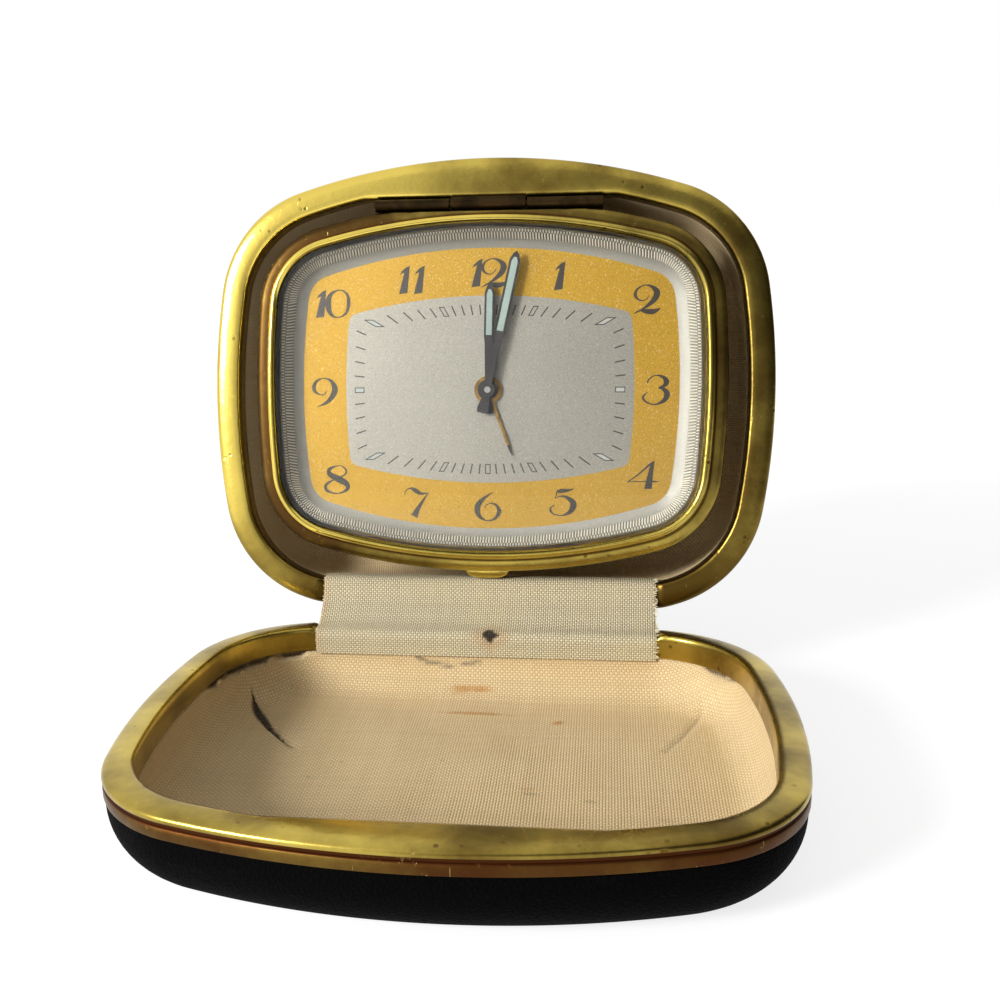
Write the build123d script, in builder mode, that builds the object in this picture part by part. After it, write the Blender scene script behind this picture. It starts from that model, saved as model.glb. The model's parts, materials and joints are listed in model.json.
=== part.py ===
from build123d import *
import os
from math import atan2, cos, degrees, radians, sin, sqrt

# A folding travel alarm clock. A shallow tray lies flat as the foot, the deeper half stands on its hinge
# and holds the clock head, which swings out of it on a hinge of its own. Millimetres, +Z up, origin in
# the middle of the foot's flat bottom, the clock faces -Y.

# Case outline, the same for both halves
case_width = 90.0
case_height = 75.0
case_side_radius = 111.0
case_top_radius = 101.0
case_corner_radius = 19.1
lower_depth = 13.5
upper_depth = 21.0
lean_angle = 10.43

# Case hinge
hinge_inset = 2.0
hinge_flat_gap = 1.9
hinge_flat_rounding = 10.0
rim_gap = 0.3
knuckle_radius = 1.1
hinge_pin_radius = 0.5
hinge_half_width = 20.0
hinge_knuckle_count = 5
hinge_leaf_thickness = 0.6
hinge_leaf_drop = 9.0
rivet_spacing = 15.0
rivet_drop = 3.2
rivet_radius = 0.6
rivet_head_radius = 1.1
rivet_head_height = 0.4

# Brass rims
rim_face_width = 4.0
rim_chord_depth = 2.1
rim_wall = 0.6
rim_skirt = 4.4
rim_flange = 3.8
groove_drop = 1.2
groove_height = 0.5
groove_depth = 0.3

# Shells, leatherette covers and linings
leather_thickness = 0.45
bottom_radius = 2.4
lower_wall = 1.2
upper_wall = 0.5
lining_thickness = 1.9
lower_pad_thickness = 1.6
upper_pad_thickness = 1.2

# Cloth strap over the hinge
strap_width = 54.4
strap_thickness = 0.5
strap_recess = 0.65
strap_side_room = 0.3
strap_tuck = 4.2
strap_fold_reach = 3.1

# Clearances
fit = 0.05
running_fit = 0.04
soft_gap = 0.1
moving_gap = 0.3
overrun = 2.0

# Clock head outline at the crystal's edge, and the gold band's outline on the dial
hub_rise = 1.4
crystal_width = 68.0
crystal_height = 51.0
crystal_side_radius = 145.0
crystal_top_radius = 101.5
crystal_corner_radius = 9.7
dial_side_margin = 3.8
dial_top_margin = 3.25
dial_band_side_radius = 104.0
dial_band_top_radius = 86.0
dial_band_corner_radius = 4.4

# Bezel, crystal, reflector ring and dial
bezel_reach = 3.6
bezel_step_height = 1.6
bezel_height = 3.4
bead_width = 1.6
bead_rounding = 0.7
can_edge_height = 0.8
crystal_apex = 5.8
crystal_dome_radius = 250.0
crystal_thickness = 1.2
reflector_height = 2.6
reflector_lip = 0.6
dial_drop = 1.0
dial_thickness = 0.5
dial_hole_radius = 1.6
dial_foot_radius = 0.7
dial_foot_x = 20.0
dial_foot_y = 10.0
tab_width = 7.2
tab_drop = 1.2
tab_root = 2.6
tab_thickness = 0.7

# Can and back cover
can_offset = 1.0
can_wall = 0.5
cover_plate = 0.5
lug_line = 44.5
lug_screw_x = 28.0
lug_screw_y = 19.0
cover_hole_room = 0.4

# Clock hinge
clock_knuckle_radius = 0.9
clock_pin_radius = 0.45
clock_hinge_height = 0.6
clock_hinge_half_width = 18.0
clock_knuckle_count = 3
clock_leaf_thickness = 0.7
clock_leaf_drop = 5.5
bracket_drop = 3.4

# Movement levels
motion_space = 3.3
plate_thickness = 0.7
train_space = 5.8
back_space = 1.8
layer_gap = 0.2

# Plates, pillars and screws
plate_inset = 0.2
back_plate_half_width = 28.0
back_plate_half_height = 18.0
back_plate_corner = 4.0
pillar_x = 25.0
pillar_y = 13.5
pillar_radius = 1.5
stud_radius = 0.8
stud_end = 1.3
nut_radius = 1.6
nut_height = 1.0
screw_radius = 0.7
screw_length = 3.0
screw_head_radius = 1.3
screw_head_height = 0.5

# Teeth, as shares of the module and of the pitch
tooth_tip_share = 0.75
tooth_root_share = 1.1
tooth_tip_width_share = 0.11
tooth_root_width_share = 0.30

# Going train
arbor_radius = 0.6
pivot_radius = 0.4
wheel_thickness = 0.4
pinion_length = 0.9
barrel_teeth = 66
barrel_module = 0.3
barrel_radius = 9.0
barrel_wall = 0.5
barrel_height = 3.6
barrel_rim_height = 0.8
barrel_angle = 225.0
winding_arbor_radius = 1.0
centre_pinion_teeth = 11
centre_teeth = 64
centre_module = 0.25
third_pinion_teeth = 8
third_teeth = 60
third_module = 0.22
third_angle = 110.0
fourth_pinion_teeth = 8
fourth_teeth = 64
fourth_module = 0.2
fourth_angle = 180.0
escape_pinion_teeth = 8
escape_angle = 150.0
escape_teeth = 15
escape_radius = 4.2
escape_root_radius = 3.2
escape_tip_width_share = 0.05
escape_root_width_share = 0.17
pallet_distance = 5.4
pallet_pin_angle = 30.0
pallet_pin_radius = 0.2
pallet_pin_room = 0.12
pallet_arm_width = 0.7
lever_thickness = 0.3
lever_end_room = 2.2
balance_x = -22.5
balance_y = -1.0
balance_radius = 6.0
balance_rim = 0.8
balance_thickness = 0.9
roller_radius = 1.7
impulse_pin_radius = 0.25
collet_radius = 0.75
hairspring_pitch = 1.0
hairspring_turns = 3
hairspring_thickness = 0.15
hairspring_height = 0.4
mainspring_pitch = 1.5
mainspring_turns = 4
mainspring_thickness = 0.4
mainspring_height = 1.8
regulator_radius = 1.6
regulator_bore = 0.6
regulator_reach = 6.0
regulator_width = 1.0
regulator_thickness = 0.4
regulator_travel = 20.0
regulator_peg_radius = 0.5
regulator_peg_end = 1.2

# Motion works under the dial
hand_arbor_radius = 0.5
cannon_teeth = 12
minute_wheel_teeth = 36
cannon_module = 0.25
minute_pinion_teeth = 10
hour_wheel_teeth = 40
minute_wheel_angle = 250.0
hour_pipe_radius = 0.9
alarm_pipe_radius = 1.35
alarm_wheel_teeth = 60
alarm_pinion_teeth = 10
alarm_module = 0.3
alarm_arbor_angle = 20.0

# Hands
hand_thickness = 0.25
hand_gap = 0.3
minute_hand_length = 22.0
hour_hand_length = 16.4
alarm_hand_length = 10.9
minute_hand_width = 1.9
hour_hand_width = 2.2
alarm_hand_width = 0.7
hand_tail = 4.0
hand_tip_width = 0.5
minute_boss_radius = 1.2
hour_boss_radius = 1.6
alarm_boss_radius = 2.2
minute_angle = 12.0
hour_angle = 1.0
alarm_angle = 159.5
hand_shoulder_share = 0.62

# Alarm work
alarm_barrel_x = 11.5
alarm_barrel_y = -8.5
alarm_barrel_teeth = 60
alarm_barrel_radius = 8.2
alarm_escape_pinion_teeth = 10
alarm_escape_angle = 40.0
hammer_angle = 60.0
hammer_head_x = 30.6
hammer_head_y = 9.2
hammer_head_radius = 1.6
hammer_head_height = 1.6
hammer_arm_width = 1.0
stop_x = 16.0
stop_y = 12.0
stop_radius = 0.8
stop_reach = 2.0
stop_knob_radius = 2.0
stop_knob_height = 1.4

# Keys and knobs behind the cover
knob_radius = 2.3
knob_height = 2.2
knob_stand = 0.5
key_hub_radius = 1.7
key_height = 3.4
key_span = 9.0
key_thickness = 1.0
key_wing_stand = 1.0

# Derived levels, measured from the upper mouth plane, outwards positive
dial_top = -dial_drop
dial_back = dial_top - dial_thickness
front_plate_top = dial_back - motion_space
train_top = front_plate_top - plate_thickness
train_floor = train_top - train_space
back_plate_back = train_floor - plate_thickness
cover_top = back_plate_back - back_space
cover_back = cover_top - cover_plate
alarm_hand_level = dial_top + hand_thickness
hour_hand_level = alarm_hand_level + hand_thickness + hand_gap
minute_hand_level = hour_hand_level + hand_thickness + hand_gap

# Derived sizes of the dial and places of the case
dial_band_width = crystal_width - 2 * dial_side_margin
dial_band_height = crystal_height - 2 * dial_top_margin
hinge_reach = case_height / 2 - hinge_inset
hinge_flat_reach = hinge_reach - hinge_flat_gap
chord_reach = case_height / 2 - rim_face_width - rim_chord_depth
shell_inset = rim_wall + fit
cover_inset = shell_inset - leather_thickness
leather_drop = rim_skirt + fit
shell_drop = rim_wall + strap_recess + fit
flange_inset = rim_face_width - rim_wall
hinge_point = Vector(0, hinge_reach, lower_depth + rim_gap / 2)
lean = radians(lean_angle)

lower_mouth = Plane(origin=(0, 0, lower_depth), x_dir=(-1, 0, 0), z_dir=(0, 0, 1))
upper_up = Vector(0, sin(lean), cos(lean))
upper_out = Vector(0, -cos(lean), sin(lean))
upper_mouth = Plane(
    origin=hinge_point + upper_up * hinge_reach - upper_out * (rim_gap / 2),
    x_dir=(1, 0, 0),
    z_dir=upper_out,
)
clock = Plane(
    origin=upper_mouth.from_local_coords((0, hub_rise, 0)),
    x_dir=(1, 0, 0),
    z_dir=upper_out,
)
clock_hinge_y = chord_reach - hub_rise - clock_knuckle_radius - moving_gap


def save(piece, name):
    """Label a finished piece and write it as its own file."""
    piece.part.label = name
    export_step(piece.part, f"parts/{name}.step")


def polar(distance, angle):
    """Return the flat offset of a given length at an angle in degrees."""
    return Vector(distance * cos(radians(angle)), distance * sin(radians(angle)))


def spot(point, level):
    """Return the clock's plane moved to a point of the movement and a level."""
    origin = clock.from_local_coords((point.X, point.Y, level))
    return Plane(origin=origin, x_dir=clock.x_dir, z_dir=clock.z_dir)


def cushion(width, height, side_radius, top_radius, corner_radius, inset):
    """Return a cushion face: four bowed sides and round corners, all tangent, drawn in by inset."""
    half_width = width / 2 - inset
    half_height = height / 2 - inset
    side = side_radius - inset
    top = top_radius - inset
    corner = corner_radius - inset
    side_centre = Vector(half_width - side, 0)
    top_centre = Vector(0, half_height - top)
    apart = (top_centre - side_centre).length
    along = (top_centre - side_centre) / apart
    across = Vector(-along.Y, along.X)
    run = ((side - corner) ** 2 - (top - corner) ** 2 + apart**2) / (2 * apart)
    rise = sqrt((side - corner) ** 2 - run**2)
    centre = side_centre + along * run + across * rise
    side_end = side_centre + (centre - side_centre).normalized() * side
    top_end = top_centre + (centre - top_centre).normalized() * top
    middle = centre + (side_end + top_end - centre * 2).normalized() * corner
    flip_x = Vector(-1, 1)
    flip_y = Vector(1, -1)
    flip_both = Vector(-1, -1)

    def flipped(point, signs):
        return (point.X * signs.X, point.Y * signs.Y)

    with BuildSketch() as face:
        with BuildLine():
            ThreePointArc(flipped(top_end, flip_x), (0, half_height), top_end)
            ThreePointArc(top_end, middle, side_end)
            ThreePointArc(side_end, (half_width, 0), flipped(side_end, flip_y))
            ThreePointArc(
                flipped(side_end, flip_y), flipped(middle, flip_y), flipped(top_end, flip_y)
            )
            ThreePointArc(flipped(top_end, flip_y), (0, -half_height), flipped(top_end, flip_both))
            ThreePointArc(
                flipped(top_end, flip_both), flipped(middle, flip_both), flipped(side_end, flip_both)
            )
            ThreePointArc(flipped(side_end, flip_both), (-half_width, 0), flipped(side_end, flip_x))
            ThreePointArc(
                flipped(side_end, flip_x), flipped(middle, flip_x), flipped(top_end, flip_x)
            )
        make_face()
    return face.sketch


def case_outline(inset):
    """Return the case's cushion with the hinge side cut straight, drawn in by inset."""
    body = cushion(
        case_width, case_height, case_side_radius, case_top_radius, case_corner_radius, inset
    )
    with BuildSketch() as face:
        add(body)
        with Locations((0, inset - hinge_flat_reach)):
            Rectangle(
                case_width, case_height, align=(Align.CENTER, Align.MAX), mode=Mode.SUBTRACT
            )
        fillet(face.vertices().group_by(Axis.Y)[0], radius=hinge_flat_rounding - inset)
    return face.sketch


def mouth_outline(inset):
    """Return the outline inside a rim, with its straight chord opposite the hinge."""
    body = case_outline(inset)
    with BuildSketch() as face:
        add(body)
        with Locations((0, chord_reach + rim_face_width - inset)):
            Rectangle(
                case_width, case_height, align=(Align.CENTER, Align.MIN), mode=Mode.SUBTRACT
            )
    return face.sketch


def head_outline(inset):
    """Return the clock head's cushion outline, measured from the crystal's edge."""
    return cushion(
        crystal_width,
        crystal_height,
        crystal_side_radius,
        crystal_top_radius,
        crystal_corner_radius,
        inset,
    )


def ring(outer, inner):
    """Return the face between two outlines."""
    with BuildSketch() as face:
        add(outer)
        add(inner, mode=Mode.SUBTRACT)
    return face.sketch


def toothed(count, tip_radius, root_radius, tip_share, root_share, phase):
    """Return a wheel face with straight-sided teeth, one of them centred on the phase angle."""
    pitch = 360 / count
    corners = []
    for index in range(count):
        centre = phase + index * pitch
        corners.append(polar(root_radius, centre - root_share * pitch))
        corners.append(polar(tip_radius, centre - tip_share * pitch))
        corners.append(polar(tip_radius, centre + tip_share * pitch))
        corners.append(polar(root_radius, centre + root_share * pitch))
    with BuildSketch() as face:
        with BuildLine():
            Polyline(*corners, close=True)
        make_face()
    return face.sketch


def gear(teeth, module, phase):
    """Return a gear face of a module, with teeth thinned for free running."""
    return toothed(
        teeth,
        module * (teeth / 2 + tooth_tip_share),
        module * (teeth / 2 - tooth_root_share),
        tooth_tip_width_share,
        tooth_root_width_share,
        phase,
    )


def meshing(phase, teeth, angle, other_teeth):
    """Return the phase of a gear that meshes at the given angle with one of known phase."""
    turned = (phase - angle) * teeth / 360
    return angle + 180 - (turned + 1 / 2) * 360 / other_teeth


def spiral(start_radius, pitch, turns, thickness, height, plane):
    """Return a flat spiral spring of half circles that open by half a pitch each."""
    with BuildPart() as spring:
        with BuildSketch(plane):
            with BuildLine() as path:
                radius = start_radius
                end = Vector(start_radius, 0)
                for half in range(2 * turns):
                    side = 1 if half % 2 == 0 else -1
                    radius = radius + pitch / 4
                    centre = end - Vector(side * radius, 0)
                    top = centre + Vector(0, side * radius)
                    far = centre - Vector(side * radius, 0)
                    ThreePointArc(end, top, far)
                    end = far
            trace(path.edges(), line_width=thickness)
        extrude(amount=-height)
    return spring


def turned(point, discs, gears, bore):
    """Return a piece turned about one axis: discs and gears as (top, bottom, radius or face)."""
    with BuildPart() as piece:
        for top, bottom, radius in discs:
            with BuildSketch(spot(point, top)):
                Circle(radius)
            extrude(amount=bottom - top)
        for top, bottom, face in gears:
            with BuildSketch(spot(point, top)):
                add(face)
            extrude(amount=bottom - top)
        if bore > 0:
            with BuildSketch(spot(point, overrun)):
                Circle(bore)
            extrude(amount=cover_back - knob_height - 2 * overrun, mode=Mode.SUBTRACT)
    return piece


os.makedirs("parts", exist_ok=True)


# Case halves
def make_rim(mouth):
    """A brass rim: flat face, grooved skirt outside, flange inside, sunk where the strap lies."""
    opening = mouth_outline(rim_face_width)
    face = ring(case_outline(0), opening)
    skirt = ring(case_outline(0), case_outline(rim_wall))
    flange = ring(mouth_outline(flange_inset), opening)
    groove = ring(case_outline(0), case_outline(groove_depth))
    with BuildPart() as rim:
        with BuildSketch(mouth):
            add(face)
        extrude(amount=-rim_wall)
        with BuildSketch(mouth):
            add(skirt)
        extrude(amount=-rim_skirt)
        with BuildSketch(mouth):
            add(flange)
        extrude(amount=-rim_flange)
        with BuildSketch(mouth.offset(-groove_drop)):
            add(groove)
        extrude(amount=-groove_height, mode=Mode.SUBTRACT)
        strap_zone = strap_width + 2 * strap_side_room
        with BuildSketch(mouth.offset(-strap_recess)):
            with Locations((0, -hinge_reach)):
                Rectangle(strap_zone, case_height / 2, align=(Align.CENTER, Align.CENTER))
        extrude(amount=strap_recess, mode=Mode.SUBTRACT)
        with BuildSketch(mouth.offset(-strap_recess)):
            add(face)
            with Locations((0, -hinge_reach)):
                Rectangle(
                    strap_zone,
                    case_height / 2,
                    align=(Align.CENTER, Align.CENTER),
                    mode=Mode.INTERSECT,
                )
        extrude(amount=-rim_wall)
        with BuildSketch(rivet_plane(mouth)):
            with GridLocations(rivet_spacing, 0, 3, 1):
                Circle(rivet_radius + running_fit)
        extrude(amount=-rim_wall, mode=Mode.SUBTRACT)
    return rim


def rivet_plane(mouth):
    """The flat of a half's hinge side, at the height of its rivets, facing out."""
    origin = mouth.from_local_coords((0, -hinge_flat_reach, -rivet_drop))
    return Plane(origin=origin, x_dir=mouth.x_dir, z_dir=mouth.y_dir * -1)


def make_dish(mouth, depth, inset, drop, rounding, wall):
    """An open dish of even wall, with a rounded bottom edge, made level and then set in its mouth."""
    outside = case_outline(inset)
    inside = case_outline(inset + wall)
    with BuildPart() as level_dish:
        with BuildSketch(Plane.XY.offset(-depth)):
            add(outside)
        extrude(amount=depth - drop)
        fillet(level_dish.edges().group_by(Axis.Z)[0], radius=rounding)
        with BuildPart(mode=Mode.SUBTRACT) as hollow:
            with BuildSketch(Plane.XY.offset(wall - depth)):
                add(inside)
            extrude(amount=depth - drop)
            fillet(hollow.edges().group_by(Axis.Z)[0], radius=rounding - wall)
    with BuildPart() as dish:
        with Locations(mouth.location):
            add(level_dish.part)
    return dish


def make_wall_lining(mouth, floor_depth):
    """The padded strip round the inside of a half, from the floor pad up to the rim's flange."""
    band_inset = rim_face_width - soft_gap
    band = ring(case_outline(band_inset - lining_thickness), case_outline(band_inset))
    with BuildPart() as lining:
        with BuildSketch(mouth.offset(-rim_flange - soft_gap)):
            add(band)
        extrude(amount=rim_flange + 2 * soft_gap - floor_depth)
    return lining


def make_pad(mouth, floor_depth, thickness):
    """The padded card on the floor of a half."""
    body = case_outline(shell_inset + bottom_radius - leather_thickness + soft_gap)
    with BuildPart() as pad:
        with BuildSketch(mouth.offset(-floor_depth)):
            add(body)
        extrude(amount=thickness)
    return pad


def make_half(mouth, depth, wall, pad_thickness, prefix):
    """Write the cover, shell, rim and linings of one half."""
    save(
        make_dish(mouth, depth, cover_inset, leather_drop, bottom_radius, leather_thickness),
        f"{prefix}_cover",
    )
    shell_depth = depth - leather_thickness
    save(
        make_dish(
            mouth, shell_depth, shell_inset, shell_drop, bottom_radius - leather_thickness, wall
        ),
        f"{prefix}_shell",
    )
    save(make_rim(mouth), f"{prefix}_rim")
    floor_depth = shell_depth - wall
    save(make_pad(mouth, floor_depth, pad_thickness), f"{prefix}_lining_pad")
    save(make_wall_lining(mouth, floor_depth - pad_thickness), f"{prefix}_lining_wall")


make_half(lower_mouth, lower_depth, lower_wall, lower_pad_thickness, "lower")
make_half(upper_mouth, upper_depth, upper_wall, upper_pad_thickness, "upper")


# Case hinge: two leaves on the flats, knuckles in turn, one pin, rivets
def hinge_side(mouth, across):
    """Side plane through the case hinge's axis: x away from the hinge, y out of the mouth."""
    origin = mouth.from_local_coords((across, -hinge_reach, rim_gap / 2))
    return Plane(origin=origin, x_dir=mouth.y_dir, z_dir=mouth.x_dir)


def make_hinge_leaf(mouth, first):
    """A leaf riveted on the flat, with every second knuckle from the first one on."""
    knuckle_pitch = 2 * hinge_half_width / hinge_knuckle_count
    knuckle_length = knuckle_pitch - moving_gap
    inner = hinge_flat_gap - hinge_leaf_thickness
    plate_top = knuckle_radius + moving_gap
    with BuildPart() as leaf:
        with BuildSketch(hinge_side(mouth, -hinge_half_width)):
            with Locations((inner, -plate_top)):
                Rectangle(
                    hinge_leaf_thickness, hinge_leaf_drop - plate_top, align=(Align.MIN, Align.MAX)
                )
        extrude(amount=2 * hinge_half_width)
        for index in range(first, hinge_knuckle_count, 2):
            start = index * knuckle_pitch - hinge_half_width + moving_gap / 2
            with BuildSketch(hinge_side(mouth, start)):
                Circle(knuckle_radius)
                with Locations((0, -rim_gap / 2)):
                    Rectangle(
                        hinge_flat_gap, knuckle_radius - rim_gap / 2, align=(Align.MIN, Align.MAX)
                    )
                with Locations((inner, -rim_gap / 2)):
                    Rectangle(
                        hinge_leaf_thickness, plate_top + overrun, align=(Align.MIN, Align.MAX)
                    )
            extrude(amount=knuckle_length)
        with BuildSketch(hinge_side(mouth, -hinge_half_width - overrun)):
            Circle(hinge_pin_radius + running_fit)
        extrude(amount=2 * (hinge_half_width + overrun), mode=Mode.SUBTRACT)
        with BuildSketch(rivet_plane(mouth)):
            with GridLocations(rivet_spacing, 0, 3, 1):
                Circle(rivet_radius + running_fit)
        extrude(amount=hinge_leaf_thickness, mode=Mode.SUBTRACT)
    return leaf


def make_rivets(mouth):
    """Three rivets that hold a leaf to its rim's skirt."""
    with BuildPart() as rivets:
        with BuildSketch(rivet_plane(mouth).offset(hinge_leaf_thickness)):
            with GridLocations(rivet_spacing, 0, 3, 1):
                Circle(rivet_head_radius)
        extrude(amount=rivet_head_height)
        with BuildSketch(rivet_plane(mouth).offset(hinge_leaf_thickness)):
            with GridLocations(rivet_spacing, 0, 3, 1):
                Circle(rivet_radius)
        extrude(amount=-hinge_leaf_thickness - rim_wall)
    return rivets


save(make_hinge_leaf(lower_mouth, 0), "lower_hinge_leaf")
save(make_hinge_leaf(upper_mouth, 1), "upper_hinge_leaf")
save(make_rivets(lower_mouth), "lower_hinge_rivets")
save(make_rivets(upper_mouth), "upper_hinge_rivets")

with BuildPart() as hinge_pin:
    with BuildSketch(hinge_side(lower_mouth, -hinge_half_width)):
        Circle(hinge_pin_radius)
    extrude(amount=2 * hinge_half_width)
save(hinge_pin, "hinge_pin")

# Cloth strap: up the lower flange, over both sunk rim faces and down behind the upper flange
strap_middle = strap_thickness / 2
strap_face = -rim_gap / 2 - strap_recess + soft_gap + strap_middle
strap_wall = hinge_flat_gap + rim_face_width + soft_gap + strap_middle
strap_points = []
for mouth, order in ((lower_mouth, 1), (upper_mouth, -1)):
    side = hinge_side(mouth, 0)
    run = [
        side.from_local_coords((strap_wall, -strap_tuck - rim_gap / 2, 0)),
        side.from_local_coords((strap_wall, strap_face, 0)),
        side.from_local_coords((strap_fold_reach, strap_face, 0)),
    ]
    strap_points.extend(run[::order])
strap_side = Plane(origin=(-strap_width / 2, 0, 0), x_dir=(0, 1, 0), z_dir=(1, 0, 0))
with BuildPart() as hinge_strap:
    with BuildSketch(strap_side):
        with BuildLine() as strap_path:
            Polyline(*[(point.Y, point.Z) for point in strap_points])
        trace(strap_path.edges(), line_width=strap_thickness)
    extrude(amount=strap_width)
save(hinge_strap, "hinge_strap")

# Bezel with its bright bead, cut straight where the clock hinge's barrel runs
bezel_low = ring(head_outline(-bezel_reach), head_outline(-can_offset - fit))
bezel_flat = ring(head_outline(-bezel_reach), head_outline(0))
bezel_bead = ring(head_outline(-bead_width), head_outline(0))
with BuildPart() as bezel:
    with BuildSketch(clock):
        add(bezel_low)
    extrude(amount=can_edge_height)
    with BuildSketch(clock.offset(can_edge_height)):
        add(bezel_flat)
    extrude(amount=bezel_step_height - can_edge_height)
    with BuildSketch(clock):
        with Locations((0, clock_hinge_y - clock_knuckle_radius - moving_gap)):
            Rectangle(
                2 * (clock_hinge_half_width + moving_gap),
                crystal_height / 2,
                align=(Align.CENTER, Align.MIN),
            )
    extrude(amount=bezel_step_height, mode=Mode.SUBTRACT)
    with BuildSketch(clock.offset(bezel_step_height)):
        add(bezel_bead)
    extrude(amount=bezel_height - bezel_step_height)
    bead_top = bezel.edges().group_by(Axis(clock.origin, clock.z_dir))[-1]
    fillet(bead_top, radius=bead_rounding)
save(bezel, "bezel")

# Domed crystal, snapped into the bezel
crystal_face = head_outline(fit)
dome_centre = clock.from_local_coords((0, 0, crystal_apex - crystal_dome_radius))
with BuildPart() as crystal:
    with BuildSketch(clock.offset(can_edge_height)):
        add(crystal_face)
    extrude(amount=crystal_apex)
    with Locations(Location(dome_centre)):
        Sphere(crystal_dome_radius, mode=Mode.INTERSECT)
        Sphere(crystal_dome_radius - crystal_thickness, mode=Mode.SUBTRACT)
save(crystal, "crystal")

# Sloping reflector ring between the dial and the crystal
reflector_outer = head_outline(soft_gap)
reflector_mouth = head_outline(reflector_lip)
band_outline = cushion(
    dial_band_width,
    dial_band_height,
    dial_band_side_radius,
    dial_band_top_radius,
    dial_band_corner_radius,
    0,
)
with BuildPart() as reflector_ring:
    with BuildSketch(clock.offset(dial_top)):
        add(reflector_outer)
    extrude(amount=reflector_height)
    with BuildSketch(clock.offset(dial_top)):
        add(band_outline)
    with BuildSketch(clock.offset(dial_top + reflector_height)):
        add(reflector_mouth)
    loft(mode=Mode.SUBTRACT)
save(reflector_ring, "reflector_ring")

# Dial plate on two feet that stand on the front plate
dial_face = head_outline(soft_gap)
dial_feet = [(-dial_foot_x, dial_foot_y), (dial_foot_x, -dial_foot_y)]
with BuildPart() as dial:
    with BuildSketch(clock.offset(dial_back)):
        add(dial_face)
        Circle(dial_hole_radius, mode=Mode.SUBTRACT)
    extrude(amount=dial_thickness)
    with BuildSketch(clock.offset(dial_back)):
        with Locations(*dial_feet):
            Circle(dial_foot_radius)
    extrude(amount=-motion_space)
save(dial, "dial")

# Pull tab under the bezel's lower edge
tab_end = crystal_height / 2 + bezel_reach + tab_drop
with BuildPart() as pull_tab:
    with BuildSketch(clock):
        with Locations((0, -tab_end)):
            Rectangle(tab_width, tab_root, align=(Align.CENTER, Align.MIN))
    extrude(amount=-tab_thickness)
    side_edges = pull_tab.edges().filter_by(Axis(clock.origin, clock.z_dir))
    fillet(side_edges.sort_by(Axis(clock.origin, clock.y_dir))[:2], radius=tab_drop / 2)
save(pull_tab, "pull_tab")

# Can: a band with corner lugs that carry the front plate and the back cover
can_band = ring(head_outline(-can_offset), head_outline(can_wall - can_offset))
can_inside = head_outline(can_wall - can_offset)
lug_places = [
    (x_side * lug_screw_x, y_side * lug_screw_y) for x_side in (-1, 1) for y_side in (-1, 1)
]
with BuildPart() as clock_can:
    with BuildSketch(clock.offset(can_edge_height)):
        add(can_band)
    extrude(amount=cover_top - can_edge_height)
    with BuildSketch(clock.offset(train_top)):
        add(can_inside)
        with BuildLine():
            Polyline((lug_line, 0), (0, lug_line), (-lug_line, 0), (0, -lug_line), close=True)
        make_face(mode=Mode.SUBTRACT)
    extrude(amount=cover_top - train_top)
    with BuildSketch(clock.offset(train_top)):
        with Locations(*lug_places):
            Circle(screw_radius + running_fit)
    extrude(amount=cover_top - train_top, mode=Mode.SUBTRACT)
save(clock_can, "clock_can")


# Clock hinge: a leaf on the can, a bracket on the upper rim's straight flange, one pin
def clock_hinge_side(across):
    """Side plane through the clock hinge's axis: x up the clock, y outwards."""
    origin = clock.from_local_coords((across, clock_hinge_y, clock_hinge_height))
    return Plane(origin=origin, x_dir=clock.y_dir, z_dir=clock.x_dir)


clock_knuckle_pitch = 2 * clock_hinge_half_width / clock_knuckle_count
clock_knuckle_length = clock_knuckle_pitch - moving_gap
clock_bore = clock_pin_radius + running_fit
leaf_top = -soft_gap
leaf_out = crystal_height / 2 + can_offset + clock_leaf_thickness
can_outline = head_outline(-can_offset)
with BuildPart() as clock_hinge_leaf:
    with BuildSketch(clock.offset(leaf_top)):
        with Locations((0, leaf_out)):
            Rectangle(
                2 * clock_hinge_half_width,
                crystal_height / 2,
                align=(Align.CENTER, Align.MAX),
            )
        add(can_outline, mode=Mode.SUBTRACT)
    extrude(amount=-clock_leaf_drop)
    for index in range(0, clock_knuckle_count, 2):
        start = index * clock_knuckle_pitch - clock_hinge_half_width + moving_gap / 2
        with BuildSketch(clock_hinge_side(start)):
            Circle(clock_knuckle_radius)
            with Locations((0, leaf_top - clock_hinge_height)):
                Rectangle(
                    clock_hinge_y - leaf_out + clock_leaf_thickness / 2,
                    clock_leaf_thickness,
                    align=(Align.MAX, Align.MAX),
                )
        extrude(amount=clock_knuckle_length)
    with BuildSketch(clock_hinge_side(-clock_hinge_half_width - overrun)):
        Circle(clock_bore)
    extrude(amount=2 * (clock_hinge_half_width + overrun), mode=Mode.SUBTRACT)
save(clock_hinge_leaf, "clock_hinge_leaf")

with BuildPart() as clock_hinge_bracket:
    for index in range(1, clock_knuckle_count, 2):
        start = index * clock_knuckle_pitch - clock_hinge_half_width + moving_gap / 2
        with BuildSketch(clock_hinge_side(start)):
            Circle(clock_knuckle_radius)
            with Locations((clock_knuckle_radius + moving_gap, 0)):
                Rectangle(
                    clock_leaf_thickness,
                    clock_hinge_height + bracket_drop,
                    align=(Align.MAX, Align.MAX),
                )
            Circle(clock_bore, mode=Mode.SUBTRACT)
        extrude(amount=clock_knuckle_length)
save(clock_hinge_bracket, "clock_hinge_bracket")

with BuildPart() as clock_hinge_pin:
    with BuildSketch(clock_hinge_side(-clock_hinge_half_width)):
        Circle(clock_pin_radius)
    extrude(amount=2 * clock_hinge_half_width)
save(clock_hinge_pin, "clock_hinge_pin")

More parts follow.
